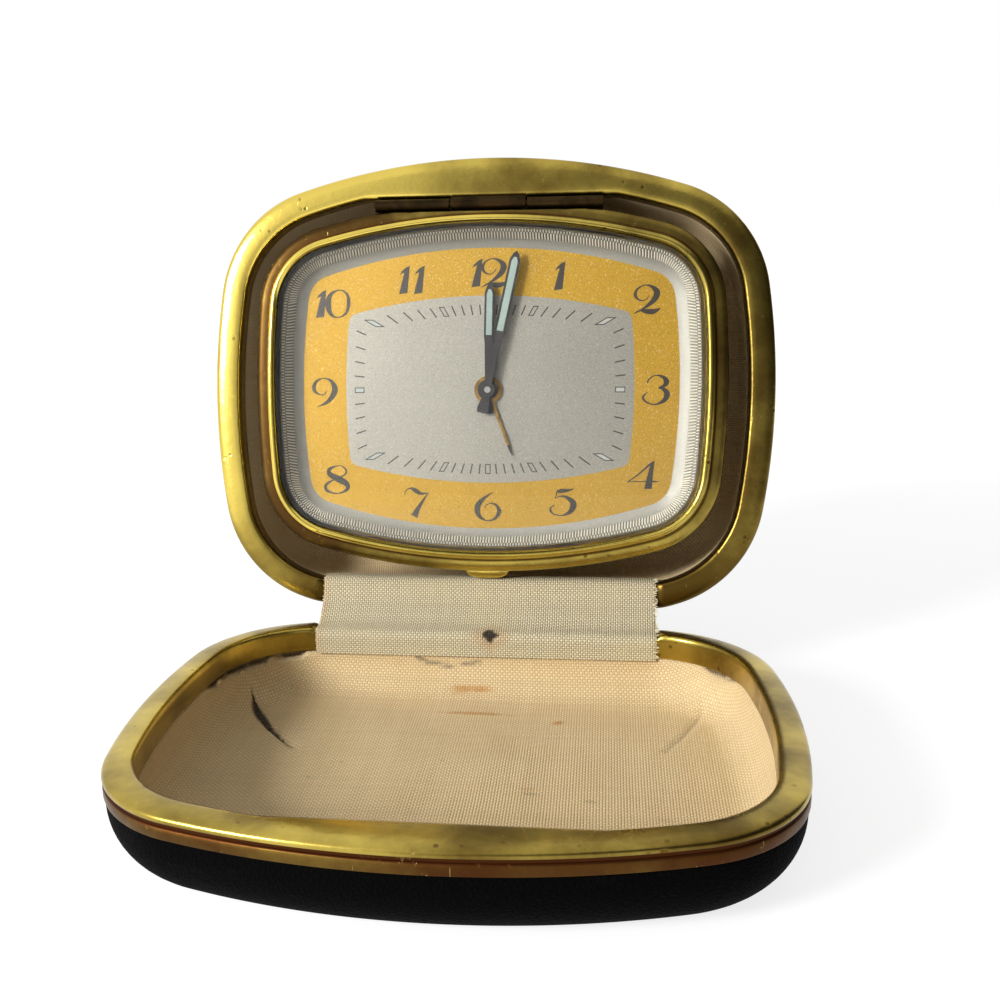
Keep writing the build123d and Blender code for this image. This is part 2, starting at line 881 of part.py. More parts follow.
# Places of the train, from the gears' centre distances
hub = Vector(0, 0)
barrel_distance = barrel_module * (barrel_teeth + centre_pinion_teeth) / 2
barrel_place = polar(barrel_distance, barrel_angle)
third_place = polar(centre_module * (centre_teeth + third_pinion_teeth) / 2, third_angle)
fourth_distance = third_module * (third_teeth + fourth_pinion_teeth) / 2
fourth_place = third_place + polar(fourth_distance, fourth_angle)
escape_distance = fourth_module * (fourth_teeth + escape_pinion_teeth) / 2
escape_place = fourth_place + polar(escape_distance, escape_angle)
balance_place = Vector(balance_x, balance_y)
lever_run = balance_place - escape_place
lever_angle = degrees(atan2(lever_run.Y, lever_run.X))
pallet_place = escape_place + polar(pallet_distance, lever_angle)
minute_wheel_place = polar(
    cannon_module * (cannon_teeth + minute_wheel_teeth) / 2, minute_wheel_angle
)
alarm_arbor_place = polar(
    alarm_module * (alarm_wheel_teeth + alarm_pinion_teeth) / 2, alarm_arbor_angle
)
alarm_barrel_place = Vector(alarm_barrel_x, alarm_barrel_y)
alarm_escape_place = alarm_barrel_place + polar(
    barrel_module * (alarm_barrel_teeth + alarm_escape_pinion_teeth) / 2, alarm_escape_angle
)
hammer_place = alarm_escape_place + polar(pallet_distance, hammer_angle)
hammer_head_place = Vector(hammer_head_x, hammer_head_y)
stop_place = Vector(stop_x, stop_y)

# Levels inside the train space, front to back
barrel_top = train_top - 3 * layer_gap
barrel_low = barrel_top - barrel_height
escape_top = train_top - 4 * layer_gap
escape_low = escape_top - wheel_thickness
lever_top = escape_low - layer_gap
lever_low = lever_top - lever_thickness
fourth_top = lever_low - layer_gap
fourth_low = fourth_top - wheel_thickness
third_top = fourth_low - 5 * layer_gap
third_low = third_top - wheel_thickness
centre_top = barrel_low - 2 * layer_gap
centre_low = centre_top - wheel_thickness
balance_low = train_floor + 2 * layer_gap
balance_top = balance_low + balance_thickness
roller_top = lever_low - 3 * layer_gap
roller_low = roller_top - wheel_thickness
hairspring_top = roller_low - layer_gap

# Levels of the motion works, from the front plate outwards
minute_wheel_low = front_plate_top + layer_gap
cannon_top = minute_wheel_low + 2 * wheel_thickness
hour_wheel_low = cannon_top + layer_gap
hour_wheel_top = hour_wheel_low + wheel_thickness
alarm_wheel_low = hour_wheel_top + 2 * layer_gap
alarm_wheel_top = alarm_wheel_low + wheel_thickness

# Plates with the bearing of every arbor
bearing = pivot_radius + running_fit
train_bearings = [
    (third_place, bearing),
    (fourth_place, bearing),
    (escape_place, bearing),
    (pallet_place, bearing),
    (balance_place, bearing),
    (alarm_escape_place, bearing),
    (hammer_place, bearing),
    (hub, hand_arbor_radius + running_fit),
    (alarm_arbor_place, arbor_radius + running_fit),
]
barrel_bearings = [
    (barrel_place, winding_arbor_radius + running_fit),
    (alarm_barrel_place, winding_arbor_radius + running_fit),
]
pillar_places = [
    Vector(x_side * pillar_x, y_side * pillar_y) for x_side in (-1, 1) for y_side in (-1, 1)
]
stud_holes = [(place, stud_radius + running_fit) for place in pillar_places]


def drill(places_and_radii):
    """Cut round holes into the sketch being drawn."""
    for place, radius in places_and_radii:
        with Locations((place.X, place.Y)):
            Circle(radius, mode=Mode.SUBTRACT)


front_plate_face = head_outline(can_wall - can_offset + plate_inset)
with BuildPart() as front_plate:
    with BuildSketch(clock.offset(front_plate_top)):
        add(front_plate_face)
        drill(train_bearings + barrel_bearings + stud_holes)
        with Locations(*lug_places):
            Circle(screw_radius + running_fit, mode=Mode.SUBTRACT)
    extrude(amount=-plate_thickness)
    with BuildSketch(spot(minute_wheel_place, front_plate_top)):
        Circle(hand_arbor_radius)
    extrude(amount=hour_wheel_top + layer_gap - front_plate_top)
save(front_plate, "front_plate")

with BuildPart() as back_plate:
    with BuildSketch(clock.offset(train_floor)) as back_plate_face:
        Rectangle(2 * back_plate_half_width, 2 * back_plate_half_height)
        chamfer(back_plate_face.vertices(), length=back_plate_corner)
        drill(train_bearings + barrel_bearings + stud_holes)
        drill([(stop_place, stop_radius + running_fit)])
    extrude(amount=-plate_thickness)
save(back_plate, "back_plate")

with BuildPart() as plate_pillars:
    for place in pillar_places:
        with BuildSketch(spot(place, train_top)):
            Circle(pillar_radius)
        extrude(amount=-train_space)
        with BuildSketch(spot(place, front_plate_top)):
            Circle(stud_radius)
        extrude(amount=back_plate_back - stud_end - front_plate_top)
save(plate_pillars, "plate_pillars")

with BuildPart() as plate_nuts:
    for place in pillar_places:
        with BuildSketch(spot(place, back_plate_back)):
            RegularPolygon(nut_radius, 6)
            Circle(stud_radius + running_fit, mode=Mode.SUBTRACT)
        extrude(amount=-nut_height)
save(plate_nuts, "plate_nuts")

# Eight like screws: four hold the front plate to the can's lugs, four hold the back cover
with BuildPart() as clock_screws:
    for level, inwards in ((front_plate_top, -1), (cover_back, 1)):
        for place in lug_places:
            with BuildSketch(spot(Vector(*place), level)):
                Circle(screw_head_radius)
            extrude(amount=-inwards * screw_head_height)
            with BuildSketch(spot(Vector(*place), level)):
                Circle(screw_radius)
            extrude(amount=inwards * screw_length)
save(clock_screws, "clock_screws")

# Back cover with its holes and the regulator's curved slot
cover_face = head_outline(-can_offset)
regulator_swing = regulator_travel + degrees(2 * regulator_peg_radius / regulator_reach)
slot_start = balance_place + polar(regulator_reach, 90 - regulator_swing)
slot_middle = balance_place + polar(regulator_reach, 90)
slot_end = balance_place + polar(regulator_reach, 90 + regulator_swing)
slot_arc = ThreePointArc(slot_start, slot_middle, slot_end)
with BuildPart() as back_cover:
    with BuildSketch(clock.offset(cover_top)):
        add(cover_face)
        for place in (barrel_place, alarm_barrel_place):
            drill([(place, winding_arbor_radius + cover_hole_room)])
        drill([(hub, hand_arbor_radius + cover_hole_room)])
        drill([(alarm_arbor_place, arbor_radius + cover_hole_room)])
        drill([(stop_place, stop_radius + running_fit)])
        drill([(Vector(*place), screw_radius + running_fit) for place in lug_places])
        SlotArc(
            slot_arc, 2 * (regulator_peg_radius + cover_hole_room), mode=Mode.SUBTRACT
        )
    extrude(amount=-cover_plate)
save(back_cover, "back_cover")


# Barrels, mainsprings and winding keys
def make_barrel(place, teeth, radius, phase):
    """A toothed drum, open at the back, round its winding arbor."""
    with BuildPart() as barrel:
        with BuildSketch(spot(place, barrel_top)):
            Circle(radius)
        extrude(amount=-barrel_height)
        with BuildSketch(spot(place, barrel_top - barrel_rim_height)):
            Circle(radius - barrel_wall)
        extrude(amount=-barrel_height, mode=Mode.SUBTRACT)
        with BuildSketch(spot(place, barrel_top)):
            add(gear(teeth, barrel_module, phase))
            Circle(winding_arbor_radius + running_fit, mode=Mode.SUBTRACT)
        extrude(amount=-barrel_rim_height)
        with BuildSketch(spot(place, barrel_top)):
            Circle(winding_arbor_radius + running_fit)
        extrude(amount=-barrel_rim_height, mode=Mode.SUBTRACT)
    return barrel


def make_key(place):
    """A winding key: a hub on the arbor's end with two flat wings."""
    key_top = cover_back - knob_stand
    with BuildPart() as key:
        with BuildSketch(spot(place, key_top)):
            Circle(key_hub_radius)
        extrude(amount=-key_height)
        with BuildSketch(spot(place, key_top - key_wing_stand)):
            SlotOverall(key_span, key_thickness)
        extrude(amount=key_wing_stand - key_height)
        with BuildSketch(spot(place, key_top)):
            Circle(winding_arbor_radius + running_fit)
        extrude(amount=-key_height / 2, mode=Mode.SUBTRACT)
    return key


def make_winding_arbor(place):
    """The arbor that a key turns, from the front plate to inside the key's hub."""
    tail = cover_back - knob_stand - key_height / 2
    return turned(place, [(front_plate_top, tail, winding_arbor_radius)], [], 0)


def make_mainspring(place):
    """The flat spring between an arbor and its drum."""
    level = barrel_top - barrel_rim_height - layer_gap
    start = winding_arbor_radius + soft_gap + mainspring_thickness / 2
    return spiral(
        start,
        mainspring_pitch,
        mainspring_turns,
        mainspring_thickness,
        mainspring_height,
        spot(place, level),
    )


save(make_barrel(barrel_place, barrel_teeth, barrel_radius, 0), "time_barrel")
save(make_mainspring(barrel_place), "time_mainspring")
save(make_winding_arbor(barrel_place), "time_winding_arbor")
save(make_key(barrel_place), "time_key")
save(
    make_barrel(alarm_barrel_place, alarm_barrel_teeth, alarm_barrel_radius, 0), "alarm_barrel"
)
save(make_mainspring(alarm_barrel_place), "alarm_mainspring")
save(make_winding_arbor(alarm_barrel_place), "alarm_winding_arbor")
save(make_key(alarm_barrel_place), "alarm_key")

# Train wheels, each with its pinion, phased so that the teeth meet gaps
centre_pinion_phase = meshing(0, barrel_teeth, barrel_angle + 180, centre_pinion_teeth)
third_pinion_phase = meshing(0, centre_teeth, third_angle, third_pinion_teeth)
fourth_pinion_phase = meshing(0, third_teeth, fourth_angle, fourth_pinion_teeth)
escape_pinion_phase = meshing(0, fourth_teeth, escape_angle, escape_pinion_teeth)
alarm_escape_pinion_phase = meshing(
    0, alarm_barrel_teeth, alarm_escape_angle, alarm_escape_pinion_teeth
)


def middle_pinion(top, low):
    """The span of a pinion that meets a wheel lying between two levels."""
    middle = (top + low) / 2
    return middle + pinion_length / 2, middle - pinion_length / 2


def pivoted(low_end, high_end):
    """An arbor between the plates with a finer pivot in each bearing."""
    return [
        (train_top - layer_gap / 2, train_floor + layer_gap / 2, arbor_radius),
        (high_end, low_end, pivot_radius),
    ]


escape_face = toothed(
    escape_teeth,
    escape_radius,
    escape_root_radius,
    escape_tip_width_share,
    escape_root_width_share,
    lever_angle,
)
alarm_escape_face = toothed(
    escape_teeth,
    escape_radius,
    escape_root_radius,
    escape_tip_width_share,
    escape_root_width_share,
    hammer_angle,
)
arbor_steps = pivoted(back_plate_back, front_plate_top)
barrel_rim_low = barrel_top - barrel_rim_height

save(
    turned(
        hub,
        [(train_top - layer_gap, train_floor + layer_gap, arbor_radius + layer_gap)],
        [
            (
                *middle_pinion(barrel_top, barrel_rim_low),
                gear(centre_pinion_teeth, barrel_module, centre_pinion_phase),
            ),
            (centre_top, centre_low, gear(centre_teeth, centre_module, 0)),
        ],
        hand_arbor_radius + running_fit,
    ),
    "centre_wheel",
)
save(
    turned(
        third_place,
        arbor_steps,
        [
            (
                *middle_pinion(centre_top, centre_low),
                gear(third_pinion_teeth, centre_module, third_pinion_phase),
            ),
            (third_top, third_low, gear(third_teeth, third_module, 0)),
        ],
        0,
    ),
    "third_wheel",
)
save(
    turned(
        fourth_place,
        arbor_steps,
        [
            (
                *middle_pinion(third_top, third_low),
                gear(fourth_pinion_teeth, third_module, fourth_pinion_phase),
            ),
            (fourth_top, fourth_low, gear(fourth_teeth, fourth_module, 0)),
        ],
        0,
    ),
    "fourth_wheel",
)
save(
    turned(
        escape_place,
        arbor_steps,
        [
            (
                *middle_pinion(fourth_top, fourth_low),
                gear(escape_pinion_teeth, fourth_module, escape_pinion_phase),
            ),
            (escape_top, escape_low, escape_face),
        ],
        0,
    ),
    "escape_wheel",
)
save(
    turned(
        alarm_escape_place,
        arbor_steps,
        [
            (
                *middle_pinion(barrel_top, barrel_rim_low),
                gear(alarm_escape_pinion_teeth, barrel_module, alarm_escape_pinion_phase),
            ),
            (centre_top, centre_low, alarm_escape_face),
        ],
        0,
    ),
    "alarm_escape_wheel",
)


# Pallet lever, hammer, balance, hairspring and regulator
def bar(start, end, width):
    """Draw a round-ended bar between two points of the sketch being drawn."""
    run = end - start
    middle = (start + end) / 2
    with Locations((middle.X, middle.Y)):
        SlotCenterToCenter(run.length, width, rotation=degrees(atan2(run.Y, run.X)))


def make_anchor(pivot, wheel, angle, level, thickness, pin_low, pin_high, arm_end, arm_width):
    """A rocking anchor: two pins that straddle an escape wheel, an arbor and an arm."""
    pin_distance = escape_radius + pallet_pin_radius + pallet_pin_room
    pins = [wheel + polar(pin_distance, angle + side * pallet_pin_angle) for side in (-1, 1)]
    with BuildPart() as anchor:
        with BuildSketch(clock.offset(level)):
            for pin in pins:
                bar(pivot, pin, pallet_arm_width)
            bar(pivot, arm_end, arm_width)
        extrude(amount=-thickness)
        for pin in pins:
            with BuildSketch(spot(pin, pin_high)):
                Circle(pallet_pin_radius)
            extrude(amount=pin_low - pin_high)
        for top, bottom, radius in arbor_steps:
            with BuildSketch(spot(pivot, top)):
                Circle(radius)
            extrude(amount=bottom - top)
    return anchor


lever_end = balance_place - polar(lever_end_room, lever_angle)
save(
    make_anchor(
        pallet_place,
        escape_place,
        lever_angle,
        lever_top,
        lever_thickness,
        lever_low,
        escape_top,
        lever_end,
        pallet_arm_width,
    ),
    "pallet_lever",
)

hammer_top = centre_low - layer_gap
with BuildPart() as alarm_hammer:
    add(
        make_anchor(
            hammer_place,
            alarm_escape_place,
            hammer_angle,
            hammer_top,
            lever_thickness,
            hammer_top - lever_thickness,
            centre_top,
            hammer_head_place,
            hammer_arm_width,
        ).part
    )
    with BuildSketch(spot(hammer_head_place, hammer_top - lever_thickness)):
        Circle(hammer_head_radius)
    extrude(amount=hammer_head_height)
save(alarm_hammer, "alarm_hammer")

impulse_place = polar(lever_end_room - impulse_pin_radius * 2, lever_angle + 180)
with BuildPart() as balance_wheel:
    with BuildSketch(spot(balance_place, balance_top)):
        Circle(balance_radius)
        Circle(balance_radius - balance_rim, mode=Mode.SUBTRACT)
        Rectangle(2 * balance_radius - balance_rim, 2 * balance_rim)
    extrude(amount=-balance_thickness)
    with BuildSketch(spot(balance_place, roller_top)):
        Circle(roller_radius)
    extrude(amount=-wheel_thickness)
    with BuildSketch(spot(balance_place + impulse_place, lever_low - layer_gap)):
        Circle(impulse_pin_radius)
    extrude(amount=roller_low - lever_low + layer_gap)
    for top, bottom, radius in arbor_steps:
        with BuildSketch(spot(balance_place, top)):
            Circle(radius)
        extrude(amount=bottom - top)
save(balance_wheel, "balance_wheel")

save(
    spiral(
        collet_radius,
        hairspring_pitch,
        hairspring_turns,
        hairspring_thickness,
        hairspring_height,
        spot(balance_place, hairspring_top),
    ),
    "hairspring",
)

regulator_top = back_plate_back - soft_gap
regulator_end = balance_place + polar(regulator_reach, 90)
with BuildPart() as regulator:
    with BuildSketch(clock.offset(regulator_top)):
        with Locations((balance_place.X, balance_place.Y)):
            Circle(regulator_radius)
        bar(balance_place, regulator_end, regulator_width)
        drill([(balance_place, regulator_bore)])
    extrude(amount=-regulator_thickness)
    with BuildSketch(spot(regulator_end, regulator_top)):
        Circle(regulator_peg_radius)
    extrude(amount=cover_back - regulator_peg_end - regulator_top)
save(regulator, "regulator")

# Motion works: the arbor that carries the minute hand, the minute wheel and the hour wheel
hour_module = (
    cannon_module
    * (cannon_teeth + minute_wheel_teeth)
    / (minute_pinion_teeth + hour_wheel_teeth)
)
minute_wheel_phase = meshing(0, cannon_teeth, minute_wheel_angle, minute_wheel_teeth)
hour_wheel_phase = meshing(0, minute_pinion_teeth, minute_wheel_angle + 180, hour_wheel_teeth)
alarm_pinion_phase = meshing(0, alarm_wheel_teeth, alarm_arbor_angle, alarm_pinion_teeth)
knob_top = cover_back - knob_stand
knob_bore_depth = knob_height / 2

save(
    turned(
        hub,
        [(minute_hand_level + hand_thickness, knob_top - knob_bore_depth, hand_arbor_radius)],
        [(cannon_top, minute_wheel_low, gear(cannon_teeth, cannon_module, 0))],
        0,
    ),
    "centre_arbor",
)
save(
    turned(
        minute_wheel_place,
        [],
        [
            (
                cannon_top - layer_gap,
                minute_wheel_low,
                gear(minute_wheel_teeth, cannon_module, minute_wheel_phase),
            ),
            (
                hour_wheel_top + layer_gap / 2,
                cannon_top - layer_gap,
                gear(minute_pinion_teeth, hour_module, 0),
            ),
        ],
        hand_arbor_radius + running_fit,
    ),
    "minute_wheel",
)
save(
    turned(
        hub,
        [(hour_hand_level + hand_thickness, hour_wheel_low, hour_pipe_radius)],
        [(hour_wheel_top, hour_wheel_low, gear(hour_wheel_teeth, hour_module, hour_wheel_phase))],
        hand_arbor_radius + running_fit,
    ),
    "hour_wheel",
)
save(
    turned(
        hub,
        [(alarm_hand_level + hand_thickness, alarm_wheel_low, alarm_pipe_radius)],
        [(alarm_wheel_top, alarm_wheel_low, gear(alarm_wheel_teeth, alarm_module, 0))],
        hour_pipe_radius + running_fit,
    ),
    "alarm_wheel",
)
save(
    turned(
        alarm_arbor_place,
        [(alarm_wheel_top + layer_gap, knob_top - knob_bore_depth, arbor_radius)],
        [
            (
                alarm_wheel_top + layer_gap / 2,
                alarm_wheel_low - layer_gap / 2,
                gear(alarm_pinion_teeth, alarm_module, alarm_pinion_phase),
            )
        ],
        0,
    ),
    "alarm_setting_arbor",
)


def make_knob(place, shaft_radius):
    """A round setting knob pushed on the end of its arbor."""
    with BuildPart() as knob:
        with BuildSketch(spot(place, knob_top)):
            Circle(knob_radius)
        extrude(amount=-knob_height)
        with BuildSketch(spot(place, knob_top)):
            Circle(shaft_radius + running_fit)
        extrude(amount=-knob_bore_depth, mode=Mode.SUBTRACT)
    return knob


save(make_knob(hub, hand_arbor_radius), "time_setting_knob")
save(make_knob(alarm_arbor_place, arbor_radius), "alarm_setting_knob")

# Alarm stop plunger with its knob
with BuildPart() as alarm_stop:
    with BuildSketch(spot(stop_place, train_floor + stop_reach)):
        Circle(stop_radius)
    extrude(amount=cover_back - knob_stand - train_floor - stop_reach)
    with BuildSketch(spot(stop_place, cover_back - knob_stand)):
        Circle(stop_knob_radius)
    extrude(amount=-stop_knob_height)
save(alarm_stop, "alarm_stop")


# Hands, turned clockwise from the twelve
def make_hand(level, angle, length, width, boss_radius, bore, tail):
    """A tapered hand with a round boss and a short tail."""
    shoulder = length * hand_shoulder_share
    half_tip = hand_tip_width / 2
    across = clock.x_dir * cos(radians(angle)) - clock.y_dir * sin(radians(angle))
    with BuildPart() as hand:
        with BuildSketch(Plane(spot(hub, level).origin, x_dir=across, z_dir=clock.z_dir)):
            with BuildLine():
                Polyline(
                    (-half_tip, -tail),
                    (half_tip, -tail),
                    (width / 2, shoulder),
                    (half_tip, length),
                    (-half_tip, length),
                    (-width / 2, shoulder),
                    close=True,
                )
            make_face()
            Circle(boss_radius)
            Circle(bore, mode=Mode.SUBTRACT)
        extrude(amount=hand_thickness)
    return hand


save(
    make_hand(
        minute_hand_level,
        minute_angle,
        minute_hand_length,
        minute_hand_width,
        minute_boss_radius,
        hand_arbor_radius + running_fit,
        hand_tail,
    ),
    "minute_hand",
)
save(
    make_hand(
        hour_hand_level,
        hour_angle,
        hour_hand_length,
        hour_hand_width,
        hour_boss_radius,
        hour_pipe_radius + running_fit,
        hand_tail,
    ),
    "hour_hand",
)
save(
    make_hand(
        alarm_hand_level,
        alarm_angle,
        alarm_hand_length,
        alarm_hand_width,
        alarm_boss_radius,
        alarm_pipe_radius + running_fit,
        hand_tail,
    ),
    "alarm_hand",
)
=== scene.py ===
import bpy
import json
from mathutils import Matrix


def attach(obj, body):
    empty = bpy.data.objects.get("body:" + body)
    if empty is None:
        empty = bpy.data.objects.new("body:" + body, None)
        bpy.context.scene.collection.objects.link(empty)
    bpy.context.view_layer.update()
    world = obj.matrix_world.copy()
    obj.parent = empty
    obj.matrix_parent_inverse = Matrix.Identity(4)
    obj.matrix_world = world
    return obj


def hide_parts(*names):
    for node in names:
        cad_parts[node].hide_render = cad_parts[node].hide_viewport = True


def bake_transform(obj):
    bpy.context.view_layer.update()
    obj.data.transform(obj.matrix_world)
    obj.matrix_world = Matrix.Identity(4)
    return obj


bl_info = {
    "name": "Folding travel alarm clock",
    "version": (1, 0, 0),
    "blender": (4, 5, 0),
    "location": "View3D > Sidebar > Travel clock",
    "description": "Dresses the packed solids of a folding travel alarm clock",
    "category": "Add Mesh",
}

import json
import math
import random

import bmesh
import bpy
from bpy.props import FloatProperty, FloatVectorProperty, IntProperty, PointerProperty
from mathutils import Matrix, Vector
from mathutils import noise as field

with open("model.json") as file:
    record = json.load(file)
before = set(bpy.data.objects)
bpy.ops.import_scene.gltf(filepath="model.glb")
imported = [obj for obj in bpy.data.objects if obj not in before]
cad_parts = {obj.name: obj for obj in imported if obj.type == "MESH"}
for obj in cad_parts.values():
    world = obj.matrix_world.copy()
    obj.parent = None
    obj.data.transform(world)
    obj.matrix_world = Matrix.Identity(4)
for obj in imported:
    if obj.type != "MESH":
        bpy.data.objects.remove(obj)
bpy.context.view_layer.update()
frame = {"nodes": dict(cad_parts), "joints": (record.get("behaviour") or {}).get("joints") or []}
nodes = frame["nodes"]
joints = {joint["name"]: joint for joint in frame["joints"]}

MM = 0.001


# Seats: local millimetres to the row frame

def make_seat(origin, across, out):
    """Matrix from local millimetres, across by up by out, to the row frame."""
    across, out = Vector(across).normalized(), Vector(out).normalized()
    turn = Matrix((across, out.cross(across), out)).transposed().to_4x4()
    return Matrix.Translation(origin) @ turn @ Matrix.Scale(MM, 4)


lower_mouth_height = 0.0135
upper_mouth_below_hub = 1.4

clock_seat = make_seat(
    joints["minute_turn"]["pos_m"], (1, 0, 0), -Vector(joints["minute_turn"]["axis"])
)
upper_seat = clock_seat @ Matrix.Translation((0, -upper_mouth_below_hub, 0))
lower_seat = make_seat((0, 0, lower_mouth_height), (-1, 0, 0), (0, 0, 1))
case_seats = {"lower": lower_seat, "upper": upper_seat}
row_seat = Matrix.Scale(MM, 4)


# Outlines of the case and of the clock's face, in millimetres

def cushion(width, height, side_radius, top_radius, corner_radius, counts):
    """Stations (x, y, nx, ny) round an outline of bowed sides and round corners."""
    side, top = width / 2 - side_radius, height / 2 - top_radius
    reach_side, reach_top = side_radius - corner_radius, top_radius - corner_radius
    apart = math.hypot(side, top)
    along = (reach_side**2 - reach_top**2 + apart**2) / (2 * apart)
    off = math.sqrt(reach_side**2 - along**2)
    ux, uy = -side / apart, top / apart
    corner = max(
        (
            (side + along * ux - sign * off * uy, along * uy + sign * off * ux)
            for sign in (-1, 1)
        ),
        key=sum,
    )
    cx, cy = corner
    start, end = math.atan2(cy, cx - side), math.atan2(cy - top, cx)
    per_side, per_corner, per_top = counts
    pi = math.pi
    arcs = (
        (side, 0, side_radius, -start, start, per_side),
        (cx, cy, corner_radius, start, end, per_corner),
        (0, top, top_radius, end, pi - end, per_top),
        (-cx, cy, corner_radius, pi - end, pi - start, per_corner),
        (-side, 0, side_radius, pi - start, pi + start, per_side),
        (-cx, -cy, corner_radius, pi + start, pi + end, per_corner),
        (0, -top, top_radius, pi + end, 2 * pi - end, per_top),
        (cx, -cy, corner_radius, 2 * pi - end, 2 * pi - start, per_corner),
    )
    stations = []
    for x, y, radius, first, last, count in arcs:
        for i in range(count):
            t = first + (last - first) * i / count
            nx, ny = math.cos(t), math.sin(t)
            stations.append((x + radius * nx, y + radius * ny, nx, ny))
    return stations


# The case: width, height and the radii of its sides, its top and its corners
case_shape = (90, 75, 111, 101, 19.1)
case_half_height = case_shape[1] / 2
hinge_flat = 33.6
chord_slope = 1.525
strap_sink = 0.65
strap_seat = (27.2, 27.9)

case_line = cushion(*case_shape, (90, 60, 110))
plain_case_line = cushion(*case_shape, (60, 40, 76))
face_counts = (64, 40, 80)
glass_line = cushion(68, 51, 145, 101.5, 9.7, face_counts)
gold_line = cushion(60.4, 44.5, 104, 86, 4.4, face_counts)
silver_line = cushion(46.3, 29.7, 106.7, 88.8, 1.6, face_counts)


def soft_max(a, b, width=0.5):
    """The larger of two values, rounded where they meet."""
    gap = max(width - abs(a - b), 0) / width
    return max(a, b) + gap * gap * width / 4


def smooth(low, high, value):
    """0 below low, 1 above high, and a smooth step between."""
    t = min(max((value - low) / (high - low), 0), 1)
    return t * t * (3 - 2 * t)


def inset_point(station, inset):
    """A case outline point moved inwards, with the straight hinge side."""
    x, y, nx, ny = station
    return x - inset * nx, soft_max(y - inset * ny, inset - hinge_flat)


def near_line(x, y, line):
    """Distance from a point to a run of points, and how far along it lies."""
    best, place, total = 1e9, 0.0, 0.0
    for (ax, ay), (bx, by) in zip(line, line[1:]):
        length = math.hypot(bx - ax, by - ay)
        t = ((x - ax) * (bx - ax) + (y - ay) * (by - ay)) / length**2
        t = min(max(t, 0), 1)
        away = math.hypot(x - ax - t * (bx - ax), y - ay - t * (by - ay))
        if away < best:
            best, place = away, total + t * length
        total += length
    return best, place


def running_lengths(points):
    """How far along a run each of its points lies."""
    lengths = [0.0]
    for a, b in zip(points, points[1:]):
        lengths.append(lengths[-1] + (b - a).length)
    return lengths


# Meshes

def link(name, data):
    """A new object in the scene."""
    made = bpy.data.objects.new(name, data)
    bpy.context.scene.collection.objects.link(made)
    return made


def turn_outwards(mesh):
    """Makes every face of closed shapes look outwards."""
    work = bmesh.new()
    work.from_mesh(mesh)
    bmesh.ops.recalc_face_normals(work, faces=work.faces)
    work.to_mesh(mesh)
    work.free()


def make_piece(name, points, faces, seat, finishes, sharp=35, slots=None, closed=True):
    """A smooth shaded piece from local millimetres, its place in its mesh."""
    mesh = bpy.data.meshes.new(name)
    mesh.from_pydata([seat @ Vector(p) for p in points], [], faces)
    for finish in finishes:
        mesh.materials.append(finish_named(finish))
    if slots:
        mesh.polygons.foreach_set("material_index", slots)
    if closed:
        turn_outwards(mesh)
    mesh.shade_smooth()
    mesh.set_sharp_from_angle(angle=math.radians(sharp))
    mesh.update()
    return link(name, mesh)


def loft(rings, close_rings=True, close_loop=False):
    """Quads between rings of equal count."""
    count = len(rings[0])
    pairs = list(zip(range(len(rings)), range(1, len(rings))))
    if close_loop:
        pairs.append((len(rings) - 1, 0))
    faces = []
    for a, b in pairs:
        for i in range(count if close_rings else count - 1):
            j = (i + 1) % count
            faces.append((a * count + i, a * count + j, b * count + j, b * count + i))
    return faces


def flat(rings):
    return [point for ring in rings for point in ring]


def capped(rings, first, last):
    """Points and faces of open ended rings, with a fan at either end."""
    points, faces = flat(rings), loft(rings)
    count = len(rings[0])
    for cap, ring in ((first, 0), (last, len(rings) - 1)):
        points.append(cap)
        tip = len(points) - 1
        for i in range(count):
            faces.append((ring * count + i, ring * count + (i + 1) % count, tip))
    return points, faces


def plate(outline, low, high, points, faces):
    """Adds a flat plate of an outline between two heights."""
    base, count = len(points), len(outline)
    points += [(x, y, low) for x, y in outline] + [(x, y, high) for x, y in outline]
    faces.append(tuple(base + i for i in reversed(range(count))))
    faces.append(tuple(base + count + i for i in range(count)))
    for i in range(count):
        j = (i + 1) % count
        faces.append((base + i, base + j, base + count + j, base + count + i))


stroke_steps = 9
thinnest_stroke = 0.012


def stroke(knots, points, faces, place, closed):
    """Adds a pen stroke of varying width through knots (x, y, width)."""
    count = len(knots)
    spans = count if closed else count - 1

    def knot(i):
        return knots[i % count] if closed else knots[min(max(i, 0), count - 1)]

    run = []
    for i in range(spans):
        a, b, c, d = (knot(i + k) for k in (-1, 0, 1, 2))
        for step in range(stroke_steps):
            t = step / stroke_steps
            run.append(
                tuple(
                    0.5 * (2 * q + (r - p) * t + (2 * p - 5 * q + 4 * r - s) * t * t
                           + (3 * q - p - 3 * r + s) * t**3)
                    for p, q, r, s in zip(a, b, c, d)
                )
            )
    if not closed:
        run.append(knots[-1])
    base, total = len(points), len(run)
    for i, (x, y, width) in enumerate(run):
        ahead = run[(i + 1) % total] if closed or i < total - 1 else run[i]
        behind = run[i - 1] if closed or i else run[i]
        dx, dy = ahead[0] - behind[0], ahead[1] - behind[1]
        size = math.hypot(dx, dy) or 1
        half = max(width, thinnest_stroke) / 2
        points.append(place(x - dy / size * half, y + dx / size * half))
        points.append(place(x + dy / size * half, y - dx / size * half))
    for i in range(total if closed else total - 1):
        j = (i + 1) % total
        faces.append((base + 2 * i + 1, base + 2 * j + 1, base + 2 * j, base + 2 * i))


def paint(piece, name, values):
    """Stores a colour for every point of a piece."""
    layer = piece.data.color_attributes.new(name, "FLOAT_COLOR", "POINT")
    layer.data.foreach_set("color", values)


# Geometry Nodes: copies of one shape at given places

